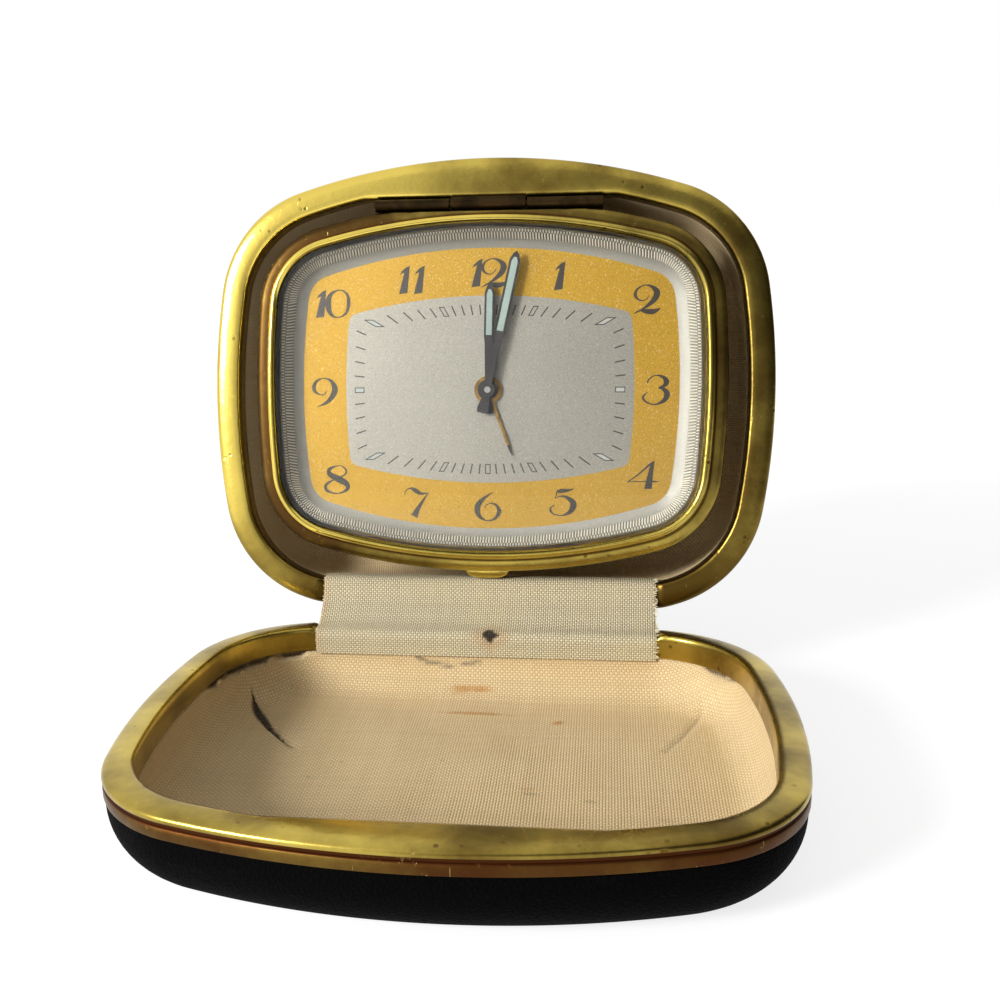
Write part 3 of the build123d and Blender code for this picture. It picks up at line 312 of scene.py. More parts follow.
def make_copies_tree():
    """Copies a shape to every point, turned and sized by the points' attributes."""
    tree = bpy.data.node_groups.new("Place copies", "GeometryNodeTree")
    new_socket, new = tree.interface.new_socket, tree.nodes.new
    kinds = {"Places": "Geometry", "Shape": "Object", "Size": "Vector", "Finish": "Material"}
    for name, kind in kinds.items():
        new_socket(name, in_out="INPUT", socket_type="NodeSocket" + kind)
    new_socket("Copies", in_out="OUTPUT", socket_type="NodeSocketGeometry")
    given, made = new("NodeGroupInput"), new("NodeGroupOutput")
    shape = new("GeometryNodeObjectInfo")
    turn, size = (new("GeometryNodeInputNamedAttribute") for _ in range(2))
    for attribute, name in ((turn, "turn"), (size, "size")):
        attribute.data_type = "FLOAT_VECTOR"
        attribute.inputs["Name"].default_value = name
    rotation = new("FunctionNodeEulerToRotation")
    scale = new("ShaderNodeVectorMath")
    scale.operation = "MULTIPLY"
    copies = new("GeometryNodeInstanceOnPoints")
    real = new("GeometryNodeRealizeInstances")
    finish = new("GeometryNodeSetMaterial")
    for source, out, goal, into in (
        (given, "Shape", shape, "Object"),
        (turn, "Attribute", rotation, "Euler"),
        (size, "Attribute", scale, 0),
        (given, "Size", scale, 1),
        (given, "Places", copies, "Points"),
        (shape, "Geometry", copies, "Instance"),
        (rotation, "Rotation", copies, "Rotation"),
        (scale, "Vector", copies, "Scale"),
        (copies, "Instances", real, "Geometry"),
        (real, "Geometry", finish, "Geometry"),
        (given, "Finish", finish, "Material"),
        (finish, "Geometry", made, "Copies"),
    ):
        tree.links.new(source.outputs[out], goal.inputs[into])
    return tree


def place_copies(name, places, shape, finish, size=(1, 1, 1), sharp=30):
    """One plain mesh of a shape copied to places (point, turn, size) in the row frame."""
    mesh = bpy.data.meshes.new(name)
    mesh.from_pydata([place[0] for place in places], [], [])
    for key, index in (("turn", 1), ("size", 2)):
        attribute = mesh.attributes.new(key, "FLOAT_VECTOR", "POINT")
        attribute.data.foreach_set("vector", [v for place in places for v in place[index]])
    points = link(name + "_places", mesh)
    tree = bpy.data.node_groups.get("Place copies") or make_copies_tree()
    modifier = points.modifiers.new("Copies", "NODES")
    modifier.node_group = tree
    given = {"Shape": shape, "Size": size, "Finish": finish_named(finish)}
    for item in tree.interface.items_tree:
        if item.in_out == "INPUT" and item.name in given:
            modifier[item.identifier] = given[item.name]
    depsgraph = bpy.context.evaluated_depsgraph_get()
    result = bpy.data.meshes.new_from_object(
        points.evaluated_get(depsgraph), depsgraph=depsgraph
    )
    result.name = name
    for key in ("turn", "size"):
        if key in result.attributes:
            result.attributes.remove(result.attributes[key])
    points.modifiers.remove(modifier)
    bpy.data.objects.remove(points)
    bpy.data.meshes.remove(mesh)
    bpy.data.objects.remove(shape)
    result.set_sharp_from_angle(angle=math.radians(sharp))
    return link(name, result)


def ridge_shape(name, section):
    """A unit bar along X with a section of (across, up) points, for copies."""
    points = [(x, y, z) for x in (-0.5, 0.5) for y, z in section]
    count = len(section)
    faces = [tuple(reversed(range(count))), tuple(range(count, 2 * count))]
    for i in range(count):
        j = (i + 1) % count
        faces.append((i, j, count + j, count + i))
    mesh = bpy.data.meshes.new(name)
    mesh.from_pydata(points, [], faces)
    turn_outwards(mesh)
    return bpy.data.objects.new(name, mesh)


def frame_turn(along, up):
    """Euler turn with X along one direction and Z near another."""
    along = Vector(along).normalized()
    across = Vector(up).cross(along).normalized()
    return Matrix((along, across, along.cross(across))).transposed().to_euler()


# Shader helpers

def srgb(red, green, blue):
    """A colour as seen, 0 to 255, as a linear colour."""
    return tuple(
        v / 255 / 12.92 if v <= 10 else ((v / 255 + 0.055) / 1.055) ** 2.4
        for v in (red, green, blue)
    )


class Board:
    """A node tree with short ways to add and join nodes."""

    def __init__(self, tree):
        self.tree = tree

    def put(self, kind, inputs=None, **settings):
        node = self.tree.nodes.new(kind)
        for key, value in settings.items():
            setattr(node, key, value)
        return self.send(node, inputs or {})

    def send(self, node, values):
        """Sets inputs of a node, or joins them where a socket is given."""
        for key, value in values.items():
            socket = node.inputs[key]
            if isinstance(value, bpy.types.NodeSocket):
                self.tree.links.new(value, socket)
            elif isinstance(value, tuple) and len(value) == 3 and socket.type == "RGBA":
                socket.default_value = (*value, 1)
            else:
                socket.default_value = value
        return node

    def show(self, shader):
        """Joins a shader to the material's surface."""
        self.send(self.tree.nodes["Material Output"], {"Surface": shader.outputs[0]})

    def math(self, operation, a, b=0.0, c=0.0):
        return self.put("ShaderNodeMath", {0: a, 1: b, 2: c}, operation=operation).outputs[0]

    def vector(self, operation, a, b, key=1):
        return self.put("ShaderNodeVectorMath", {0: a, key: b}, operation=operation).outputs[0]

    def mix(self, factor, a, b, blend="MIX"):
        return self.put(
            "ShaderNodeMix", {0: factor, 6: a, 7: b}, data_type="RGBA", blend_type=blend
        ).outputs[2]

    def step(self, value, low, high, to_low=0.0, to_high=1.0):
        ends = {"From Min": low, "From Max": high, "To Min": to_low, "To Max": to_high}
        return self.put(
            "ShaderNodeMapRange", {"Value": value, **ends}, interpolation_type="SMOOTHSTEP"
        ).outputs["Result"]

    def noise(self, vector, scale, detail=2.0, rough=0.5):
        return self.put(
            "ShaderNodeTexNoise",
            {"Vector": vector, "Scale": scale, "Detail": detail, "Roughness": rough},
        ).outputs["Fac"]

    def stretch(self, vector, scale, turn=(0, 0, 0)):
        return self.put(
            "ShaderNodeMapping", {"Vector": vector, "Scale": scale, "Rotation": turn}
        ).outputs[0]

    def here(self):
        return self.put("ShaderNodeTexCoord").outputs["Object"]

    def bump(self, height, strength, distance):
        return self.put(
            "ShaderNodeBump", {"Height": height, "Strength": strength, "Distance": distance}
        ).outputs[0]


def new_group(name, inputs, outputs):
    """A shader node group with named sockets, and its input and output nodes."""
    tree = bpy.data.node_groups.new(name, "ShaderNodeTree")
    for key in inputs:
        kind = "NodeSocketVector" if key == "Place" else "NodeSocketFloat"
        tree.interface.new_socket(key, in_out="INPUT", socket_type=kind)
    for key in outputs:
        tree.interface.new_socket(key, in_out="OUTPUT", socket_type="NodeSocketFloat")
    board = Board(tree)
    return board, board.put("NodeGroupInput"), board.put("NodeGroupOutput")


def weave_group():
    """Plain weave of round threads: height, dark gaps and a tone for each thread."""
    board, given, made = new_group(
        "Plain weave", ("Place", "Pitch", "Waver"), ("Height", "Gap", "Tone", "Sunk")
    )
    place = given.outputs["Place"]
    wander = board.put(
        "ShaderNodeTexNoise", {"Vector": place, "Scale": 0.35, "Detail": 2.0}
    ).outputs["Color"]
    wander = board.vector("SUBTRACT", wander, (0.5, 0.5, 0.5))
    wander = board.vector("SCALE", wander, given.outputs["Waver"], "Scale")
    split = board.put("ShaderNodeSeparateXYZ", {0: board.vector("ADD", place, wander)})
    cells, swells = [], []
    for axis in "XY":
        run = board.math("DIVIDE", split.outputs[axis], given.outputs["Pitch"])
        cells.append(board.math("FLOOR", run))
        wave = board.math("SINE", board.math("MULTIPLY", run, math.pi))
        swells.append(board.math("ABSOLUTE", wave))
    over = board.math("ABSOLUTE", board.math("MODULO", board.math("ADD", *cells), 2.0))
    under = board.math("SUBTRACT", 1.0, over)

    def pick(warp, weft):
        return board.math(
            "ADD", board.math("MULTIPLY", warp, over), board.math("MULTIPLY", weft, under)
        )

    heights, tones = [], []
    for across, along in (swells, swells[::-1]):
        crown = board.math("POWER", across, 0.6)
        lift = board.math("MULTIPLY_ADD", along, 0.45, 0.55)
        heights.append(board.math("MULTIPLY", crown, lift))
    for axis, cell in enumerate(cells):
        thread = board.put("ShaderNodeCombineXYZ", {axis: cell, 2: over}).outputs[0]
        tones.append(board.put("ShaderNodeTexWhiteNoise", {"Vector": thread}).outputs["Value"])
    height = pick(*heights)
    gap = board.step(height, 0.62, 0.18)
    board.send(made, {"Height": height, "Gap": gap, "Tone": pick(*tones), "Sunk": over})
    return board.tree


def wear_group():
    """Handled metal: broad tarnish patches, rubbed flecks and scratches, pits and their height."""
    board, given, made = new_group(
        "Metal wear", ("Patch size", "Scratches", "Pits"),
        ("Patches", "Scratched", "Pitted", "Height"),
    )
    here = board.here()
    scale = board.math("DIVIDE", 1.0, given.outputs["Patch size"])
    patches = board.noise(here, scale, 5.0, 0.6)
    streak = board.noise(board.stretch(here, (2600, 2600, 160), (0.8, 0.7, 2.1)), 1.0, 2.0)
    flecks = board.step(board.noise(here, 1300.0, 4.0, 0.7), 0.63, 0.72)
    rubbed = board.step(board.noise(here, 170.0, 2.0), 0.48, 0.62)
    flecks = board.math("MULTIPLY", flecks, rubbed)
    scratched = board.math("MAXIMUM", board.step(streak, 0.73, 0.79), flecks)
    scratched = board.math("MULTIPLY", scratched, given.outputs["Scratches"])
    spots = board.put(
        "ShaderNodeTexVoronoi", {"Vector": here, "Scale": 700.0}, feature="F1"
    ).outputs["Distance"]
    sparse = board.step(board.noise(here, 260.0, 2.0), 0.58, 0.68)
    pitted = board.math("MULTIPLY", board.step(spots, 0.30, 0.12), sparse)
    pitted = board.math("MULTIPLY", pitted, given.outputs["Pits"])
    ripple = board.noise(here, 420.0, 3.0, 0.6)
    cut = board.math("ADD", pitted, board.math("MULTIPLY", scratched, 0.35))
    height = board.math("SUBTRACT", ripple, cut)
    board.send(
        made,
        {"Patches": patches, "Scratched": scratched, "Pitted": pitted, "Height": height},
    )
    return board.tree


def pebble_group():
    """Pressed leather grain: rounded pebbles between fine creases."""
    board, given, made = new_group("Pebble grain", ("Pebble",), ("Height", "Crease", "Scuff"))
    here = board.here()
    scale = board.math("DIVIDE", 1.0, given.outputs["Pebble"])
    drift = board.put("ShaderNodeTexNoise", {"Vector": here, "Scale": 900.0}).outputs["Color"]
    drift = board.vector("SCALE", drift, 0.0006, "Scale")
    place = board.vector("ADD", here, drift)
    edge = board.put(
        "ShaderNodeTexVoronoi", {"Vector": place, "Scale": scale}, feature="DISTANCE_TO_EDGE"
    ).outputs["Distance"]
    dome = board.step(edge, 0.0, 0.32)
    fine = board.noise(here, 5200.0, 2.0)
    height = board.math("MULTIPLY_ADD", fine, 0.18, dome)
    scuff = board.noise(board.stretch(here, (60, 60, 190)), 1.0, 6.0, 0.7)
    scuff, crease = board.step(scuff, 0.56, 0.74), board.step(edge, 0.09, 0.0)
    board.send(made, {"Height": height, "Crease": crease, "Scuff": scuff})
    return board.tree


def sparkle_group():
    """Grained metallic lacquer: fine light and dark grains, clouds and specks."""
    board, given, made = new_group(
        "Grained lacquer", ("Grain",), ("Grains", "Clouds", "Specks", "Height")
    )
    here = board.here()
    scale = board.math("DIVIDE", 1.0, given.outputs["Grain"])
    grains = board.noise(here, scale, 3.0, 0.7)
    cell = board.put("ShaderNodeTexVoronoi", {"Vector": here, "Scale": scale}, feature="F1")
    clouds = board.noise(here, 70.0, 4.0, 0.55)
    rare = board.put("ShaderNodeSeparateColor", {0: cell.outputs["Color"]}).outputs[0]
    specks = board.step(rare, 0.94, 0.985)
    board.send(made, {"Grains": grains, "Clouds": clouds, "Specks": specks, "Height": grains})
    return board.tree


GROUPS = {
    "Plain weave": weave_group,
    "Metal wear": wear_group,
    "Pebble grain": pebble_group,
    "Grained lacquer": sparkle_group,
}


def use_group(board, name, values):
    """Places a shared group in a material's tree with its own values."""
    tree = bpy.data.node_groups.get(name) or GROUPS[name]()
    return board.put("ShaderNodeGroup", values, node_tree=tree).outputs


# Full height of the bumps of each kind of surface, in metres
metal_relief = leather_relief = 0.00012
weave_relief = 0.00025
lacquer_relief = 0.00005
paint_relief = 0.00004


def new_finish(name, **sockets):
    """A material with a Principled shader, and the board to feed it from."""
    finish = bpy.data.materials.new(name)
    finish.use_nodes = True
    board = Board(finish.node_tree)
    shader = finish.node_tree.nodes["Principled BSDF"]
    board.send(shader, {key.replace("_", " "): value for key, value in sockets.items()})
    return finish, board, shader


def metal_finish(name, bright, dull, roughness, patch, patch_range, scratches, pits, bump):
    """Bright metal with dull patches, scratches and pits."""
    finish, board, shader = new_finish(name, Metallic=1.0)
    wear = use_group(
        board, "Metal wear", {"Patch size": patch, "Scratches": scratches, "Pits": pits}
    )
    worn = board.step(wear["Patches"], *patch_range)
    colour = board.mix(worn, bright, dull)
    colour = board.mix(wear["Pitted"], colour, tuple(c * 0.3 for c in dull))
    rough = board.math("MULTIPLY_ADD", worn, 0.16, roughness)
    rough = board.math("ADD", rough, board.math("MULTIPLY", wear["Scratched"], 0.12))
    normal = board.bump(wear["Height"], bump, metal_relief)
    board.send(shader, {"Base Color": colour, "Roughness": rough, "Normal": normal})
    return finish


def rim_finish(name, bright, dull):
    """Brass of the rims: olive, partly tarnish and partly painted shade and reflection, and dark brown
    where the piece's map says: painted shade on the skirt and a darker line in the groove.
    """
    finish, board, shader = new_finish(name, Metallic=1.0)
    wear = use_group(board, "Metal wear", {"Patch size": 0.010, "Scratches": 0.6, "Pits": 0.8})
    marks = board.put("ShaderNodeVertexColor", layer_name="tarnish")
    parts = board.put("ShaderNodeSeparateColor", {0: marks.outputs["Color"]})
    uneven = board.math("MULTIPLY_ADD", wear["Patches"], 0.9, -0.45)
    olive = board.step(board.math("ADD", parts.outputs[0], uneven), 0.0, 1.0)
    colour = board.mix(olive, bright, dull)
    # Painted shade: dark brown where the map marks the skirt, and in the groove
    cover = board.math("MULTIPLY_ADD", wear["Patches"], 0.5, 0.65)
    brown = board.math("MULTIPLY", parts.outputs[1], cover)
    colour = board.mix(brown, colour, srgb(74, 40, 18))
    colour = board.mix(wear["Pitted"], colour, srgb(92, 62, 26))
    rubbed = board.math("MULTIPLY", wear["Scratched"], 0.45)
    colour = board.mix(rubbed, colour, srgb(244, 226, 140))
    rough = board.math("MULTIPLY_ADD", olive, 0.14, 0.17)
    rough = board.math("MULTIPLY_ADD", brown, 0.2, rough)
    normal = board.bump(wear["Height"], 0.32, metal_relief)
    board.send(shader, {"Base Color": colour, "Roughness": rough, "Normal": normal})
    return finish


def cloth_finish(name, light, shade, soiled, sunk, pitch, waver, bump):
    """Woven cloth on the piece's own map, with stains, dark smudges, painted shade and scuffs from its
    marks.
    """
    finish, board, shader = new_finish(
        name, Roughness=0.85, Sheen_Weight=0.25, Sheen_Roughness=0.5, Sheen_Tint=light
    )
    place = board.put("ShaderNodeUVMap", uv_map="weave").outputs[0]
    weave = use_group(board, "Plain weave", {"Place": place, "Pitch": pitch, "Waver": waver})
    colour = board.mix(weave["Tone"], light, tuple(c * 0.88 for c in light))
    colour = board.mix(board.math("MULTIPLY", weave["Sunk"], sunk), colour, shade)
    colour = board.mix(board.math("MULTIPLY", weave["Gap"], 0.8), colour, shade)
    soil = board.step(board.noise(board.here(), 95.0, 4.0, 0.6), 0.4, 0.75)
    colour = board.mix(board.math("MULTIPLY", soil, 0.22), colour, soiled)
    marks = board.put("ShaderNodeVertexColor", layer_name="marks")
    parts = board.put("ShaderNodeSeparateColor", {0: marks.outputs["Color"]})
    uneven = board.math("MULTIPLY_ADD", board.noise(board.here(), 1500.0), 0.9, 0.35)
    blot = board.math("MULTIPLY", parts.outputs[0], uneven)
    colour = board.mix(blot, colour, srgb(196, 132, 58))
    # Painted shade: the dark mark fills the lining's slit and crease and the strap's hole, besides dark
    # smudges
    colour = board.mix(parts.outputs[1], colour, srgb(38, 28, 20))
    colour = board.mix(parts.outputs[2], colour, srgb(120, 108, 92))
    normal = board.bump(weave["Height"], bump, weave_relief)
    board.send(shader, {"Base Color": colour, "Normal": normal})
    return finish


# Finishes by slot. A colour is the name of a setting or a colour as seen, 0 to 255.
# Metals: bright and dull, roughness, size and range of dull patches, scratches, pits, bump
polished = ("brass", "dull_brass", 0.24, 0.008, (0.5, 0.7), 0.6, 0.3, 0.2)
plain_steel = ("steel", (92, 84, 74), 0.30, 0.006, (0.46, 0.66), 0.5, 0.5, 0.2)
bare_aluminium = ("aluminium", (150, 148, 144), 0.34, 0.012, (0.48, 0.68), 0.6, 0.2, 0.2)
metals = {
    # dark_brass is tarnish darkened further as painted shade, so the hinge reads as the shadowed gap
    "dark_brass": ((58, 44, 24), (34, 25, 15), 0.36, 0.006, (0.4, 0.6), 0.4, 0.5, 0.2),
    "alarm_hand_brass": ((156, 122, 64), (104, 80, 42), 0.3, 0.004, (0.4, 0.6), 0.3, 0.3, 0.15),
    "movement_brass": ((222, 188, 110), (170, 130, 66), 0.28, 0.01, (0.5, 0.7), 0.3, 0.2, 0.15),
    "shell_steel": ((120, 118, 114), (80, 74, 66), 0.4, 0.008, (0.46, 0.66), 0.3, 0.3, 0.2),
    "key_brass": polished,
    "knob_brass": polished,
    "movement_steel": plain_steel,
    "hinge_steel": plain_steel,
    "can_aluminium": bare_aluminium,
    "shell_aluminium": bare_aluminium,
}

# Rims: colour of their olive, which is tarnish and also painted shade and dark reflection
rim_dulls = {"rim_brass": (96, 76, 32), "bezel_brass": (68, 54, 25)}

# Cloths: light, shade and soil, how dark sunk threads are, the pitch's setting, waver, bump
cloths = {
    "lining_cloth": (
        "lining", (176, 142, 96), (216, 184, 128), 0.36, "lining_pitch", 0.05, 0.6
    ),
    "strap_cloth": (
        "strap", (128, 117, 90), (228, 210, 156), 0.42, "strap_pitch", 0.10, 0.8
    ),
}

# Lacquers: colour, share of it, roughness, metallic, depth of the grain, bump
reflector_coat = (0.56, 0.5, 0.06, 0.02)
dial_coat = ("dial_silver", 1.0, 0.46, 0.90, 0.16, 0.10)
reflector_grain = 0.00018
lacquers = {
    "reflector_silver": ("reflector", 0.66, *reflector_coat),
    # Painted highlight and shade: the flutes are a lighter copy of the reflector's lacquer and the band
    # under them a darker copy
    "reflector_flute": ("reflector", 1.9, *reflector_coat),
    "reflector_groove": ("reflector", 0.40, *reflector_coat),
    "dial": dial_coat,
    "dial_silver": dial_coat,
    "dial_gold": ("dial_gold", 1.0, 0.48, 0.50, 0.24, 0.20),
}

# Paints: colour, share of it, roughness, mottle
paints = {
    "hand_dark": ("hand", 1.0, 0.42, 0.25),
    "ink": ("ink", 1.0, 0.5, 0.3),
    "thread": ("strap", 0.86, 0.85, 0.4),
    "lume": ("lume", 1.0, 0.75, 0.25),
    "lume_white": ((150, 150, 142), 1.0, 0.75, 0.25),
    "lume_grey": ((128, 132, 128), 1.0, 0.75, 0.25),
}


def tone(colour, share=1.0):
    """A share of a colour, which is a setting's name or a colour as seen."""
    if isinstance(colour, str):
        return tuple(c * share for c in getattr(bpy.context.scene.clock_colours, colour))
    return tuple(c * share for c in srgb(*colour))


def finish_named(name):
    """The finish of a material slot, made the first time it is asked for."""
    return bpy.data.materials.get("clock_" + name) or make_finish(name)


def make_finish(name):
    sizes = bpy.context.scene.clock_sizes
    full = "clock_" + name
    if name in metals:
        bright, dull, *rest = metals[name]
        return metal_finish(full, tone(bright), tone(dull), *rest)
    if name in rim_dulls:
        return rim_finish(full, tone("brass"), tone(rim_dulls[name]))
    if name in cloths:
        light, shade, soiled, sunk, pitch, *rest = cloths[name]
        colours = tone(light), tone(shade), tone(soiled)
        return cloth_finish(full, *colours, sunk, getattr(sizes, pitch) / MM, *rest)
    if name in lacquers:
        colour, share, *rest = lacquers[name]
        grain = reflector_grain if colour == "reflector" else sizes.dial_grain
        return lacquer_finish(full, tone(colour, share), grain, *rest)
    if name in paints:
        colour, share, *rest = paints[name]
        return painted_finish(full, tone(colour, share), *rest)
    if name == "leatherette":
        return leather_finish(full, tone("leatherette"), sizes.pebble)
    if name == "crystal":
        return crystal_finish(full)
    raise ValueError(f"no finish is known for the slot {name}")


def leather_finish(name, tone, pebble):
    """Black leather cloth with pressed grain and faint rubbed patches."""
    finish, board, shader = new_finish(name, Specular_IOR_Level=0.03)
    grain = use_group(board, "Pebble grain", {"Pebble": pebble})
    rubbed = board.math("MULTIPLY", grain["Scuff"], 0.5)
    colour = board.mix(rubbed, tone, tuple(c * 2.0 + 0.002 for c in tone))
    colour = board.mix(grain["Crease"], colour, tuple(c * 0.35 for c in tone))
    rough = board.math("MULTIPLY_ADD", grain["Scuff"], -0.10, 0.78)
    normal = board.bump(grain["Height"], 0.55, leather_relief)
    board.send(shader, {"Base Color": colour, "Roughness": rough, "Normal": normal})
    return finish


def lacquer_finish(name, tone, grain, roughness, metallic, depth, bump):
    """Grained metallic lacquer, as on a printed dial."""
    finish, board, shader = new_finish(name, Metallic=metallic, Specular_IOR_Level=0.25)
    spark = use_group(board, "Grained lacquer", {"Grain": grain})
    shadow = board.step(spark["Grains"], 0.35, 0.68, depth, -depth)
    light = board.math("ADD", 1.0, shadow)
    light = board.math("ADD", light, board.math("MULTIPLY_ADD", spark["Clouds"], 0.16, -0.08))
    grey = board.put("ShaderNodeCombineColor", {0: light, 1: light, 2: light}).outputs[0]
    colour = board.mix(1.0, tone, grey, "MULTIPLY")
    colour = board.mix(
        board.math("MULTIPLY", spark["Specks"], depth * 0.5), colour, (0.95, 0.93, 0.88)
    )
    rough = board.math("MULTIPLY_ADD", spark["Grains"], 0.2, roughness - 0.1)
    normal = board.bump(spark["Height"], bump, lacquer_relief)
    board.send(shader, {"Base Color": colour, "Roughness": rough, "Normal": normal})
    return finish


def painted_finish(name, tone, roughness, mottle):
    """Thin paint or ink with a slightly uneven coat."""
    finish, board, shader = new_finish(name)
    uneven = board.noise(board.here(), 3200.0, 3.0, 0.6)
    colour = board.mix(
        board.math("MULTIPLY", board.step(uneven, 0.35, 0.7), mottle), tone,
        tuple(min(c * 1.5 + 0.01, 1) for c in tone),
    )
    rough = board.math("MULTIPLY_ADD", uneven, 0.2, roughness - 0.1)
    normal = board.bump(uneven, 0.15, paint_relief)
    board.send(shader, {"Base Color": colour, "Roughness": rough, "Normal": normal})
    return finish


# Lower than a real crystal's, so that white surroundings do not veil the dial
crystal_index = 1.31


def crystal_finish(name):
    """Clear domed crystal that lets the light through to the dial."""
    finish, board, shader = new_finish(
        name, Transmission_Weight=1.0, IOR=crystal_index, Base_Color=(0.985, 0.99, 0.98)
    )
    smears = board.noise(board.stretch(board.here(), (220, 60, 220), (0.2, 0.4, 0.7)), 1.0, 4.0)
    board.send(shader, {"Roughness": board.step(smears, 0.55, 0.8, 0.0, 0.05)})
    shadow = board.put("ShaderNodeLightPath").outputs["Is Shadow Ray"]
    clear = board.put("ShaderNodeBsdfTransparent", {"Color": (0.97, 0.975, 0.97)})
    board.show(board.put(
        "ShaderNodeMixShader", {0: shadow, 1: shader.outputs[0], 2: clear.outputs[0]}
    ))
    return finish


# Settings

def colour_setting(name, description, seen):
    return FloatVectorProperty(
        name=name, description=description, subtype="COLOR", size=3, min=0, max=1,
        default=srgb(*seen),
    )


def length_setting(name, description, default):
    return FloatProperty(
        name=name, description=description, unit="LENGTH", min=0, precision=5, default=default
    )


class ClockColours(bpy.types.PropertyGroup):
    """Colours of the clock's finishes."""

    brass: colour_setting("Brass", "Polished brass of the rims and bezel", (230, 204, 98))
    dull_brass: colour_setting("Dull brass", "Tarnished brass", (128, 100, 44))
    leatherette: colour_setting("Leatherette", "Covering of both halves", (4, 4, 4))
    lining: colour_setting("Lining", "Woven lining of both halves", (252, 227, 178))
    strap: colour_setting("Strap", "Woven strap over the hinge", (252, 238, 200))
    dial_gold: colour_setting("Dial ring", "Ring that carries the numbers", (149, 116, 36))
    dial_silver: colour_setting("Dial centre", "Middle of the dial", (137, 133, 124))
    reflector: colour_setting("Reflector", "Slope between dial and crystal", (154, 150, 140))
    ink: colour_setting("Ink", "Numbers and minute marks", (28, 20, 8))
    hand: colour_setting("Hands", "Paint of the hour and minute hand", (16, 11, 10))
    lume: colour_setting("Hand filling", "Pale filling of the hands", (116, 129, 122))
    steel: colour_setting("Steel", "Screws, arbors and hinge", (168, 166, 162))
    aluminium: colour_setting("Aluminium", "Can and back cover", (198, 198, 196))


class ClockSizes(bpy.types.PropertyGroup):
    """Sizes of the clock's fine detail."""

    lining_pitch: length_setting("Lining thread", "Distance between lining threads", 0.00040)
    strap_pitch: length_setting("Strap thread", "Distance between strap threads", 0.00036)
    pebble: length_setting("Leather pebble", "Size of a pebble of the leather grain", 0.0007)
    dial_grain: length_setting("Dial grain", "Size of a grain on the dial", 0.00016)
    numeral_height: length_setting("Number height", "Height of the dial's numbers", 0.00445)
    tick_width: length_setting("Mark width", "Width of a minute mark", 0.0002)
    flutes: IntProperty(name="Flutes", description="Ridges round the reflector", min=90, default=440)
    grips: IntProperty(name="Grip ridges", description="Ridges round a knob", min=8, default=26)


class ClockPiece:
    """What every step of the clock shares."""

    bl_options = {"REGISTER", "UNDO"}

    def execute(self, context):
        self.make(context.scene.clock_sizes)
        return {"FINISHED"}


# Case

# Profiles are runs of (inset from the outline, height)
rim_profile = (
    (0.3, -3.4), (0.05, -3.3), (0.0, -3.1), (0.0, -2.4), (0.04, -1.95), (0.12, -1.82),
    (0.3, -1.74), (0.3, -1.34), (0.12, -1.24), (0.02, -1.12), (0.0, -0.9), (0.1, -0.6),
    (0.35, -0.36), (0.8, -0.2), (1.7, -0.07), (2.8, 0.0), (3.5, -0.02), (3.85, -0.14),
    (4.0, -0.42), (4.0, -1.2), (4.0, -3.6), (3.9, -3.8), (3.4, -3.8), (3.4, -0.9),
    (0.65, -0.9), (0.6, -3.4),
)
rim_skirt_inside = 0.6


def rim_rings():
    """Rings of a rim's profile, with the strap's seat and the straight lip."""
    rings = []
    for inset, height in rim_profile:
        on_flange = (inset > 0.32 or height > -1.0) and inset != rim_skirt_inside
        ring = []
        for station in case_line:
            x, y = inset_point(station, inset)
            if on_flange:
                y = min(y, case_half_height - chord_slope * inset)
            under_strap = y < -20 and height > -0.95
            sink = strap_sink * (1 - smooth(*strap_seat, abs(x))) if under_strap else 0
            ring.append((x, y, height - sink))
        rings.append(ring)
    return rings


# Olive round each rim, by degrees anticlockwise from its right side as seen from the front: partly tarnish
# and partly painted reflection and shade, less olive on the side towards the lamp and more away from it
rim_tarnish_and_shade = {
    "upper": (
        (0, 0.70), (35, 0.65), (60, 0.66), (90, 0.62), (110, 0.25), (130, 0.05), (165, 0.16),
        (190, 0.24), (215, 0.55), (235, 0.85), (270, 0.85), (300, 0.95), (335, 0.95), (360, 0.70),
    ),
    "lower": (
        (0, 0.55), (40, 0.6), (90, 0.7), (140, 0.62), (180, 0.60), (215, 0.50), (250, 0.52),
        (270, 0.60), (295, 0.8), (325, 0.75), (345, 0.6), (360, 0.55),
    ),
}


def between(table, place):
    """A value read from a table of (place, value) by straight lines."""
    for (a, low), (b, high) in zip(table, table[1:]):
        if a <= place <= b:
            return low + (high - low) * (place - a) / (b - a)
    return table[-1][1]


def tarnish_map(piece, half, rings):
    """Marks where a rim is olive, from tarnish and painted reflection and shade, and where its skirt is
    painted dark brown for shade, with a darker line in the groove.
    """
    marks = []
    for (inset, height), ring in zip(rim_profile, rings):
        # Painted shade: the skirt is painted dark brown in place of its dark reflection; the groove gets a
        # darker line
        brown = 0.95 if inset <= 0.35 and -3.45 < height < -1.2 else 0.0
        if 0.1 < inset < 0.35 and height < -1.2:
            brown = 1.3
        for x, y, _ in ring:
            across, up = (-x, -y) if half == "lower" else (x, y)
            olive = between(rim_tarnish_and_shade[half], math.degrees(math.atan2(up, across)) % 360)
            spot = field.noise(Vector((across * 0.11, up * 0.11, 4.0)))
            marks += [min(max(olive + 0.25 * spot, 0), 1), brown, 0.0, 1.0]
    paint(piece, "tarnish", marks)


class CLOCK_OT_rims(ClockPiece, bpy.types.Operator):
    """Makes the two pressed brass rims with their grooves and rolled lips"""

    bl_idname = "clock.rims"
    bl_label = "Brass rims"

    def make(self, sizes):
        rings = rim_rings()
        for half, seat in case_seats.items():
            piece = make_piece(
                f"{half}_brass_rim", flat(rings), loft(rings, close_loop=True), seat,
                ["rim_brass"], sharp=50,
            )
            tarnish_map(piece, half, rings)
            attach(piece, f"{half}_case")
            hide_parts(f"{half}_rim")


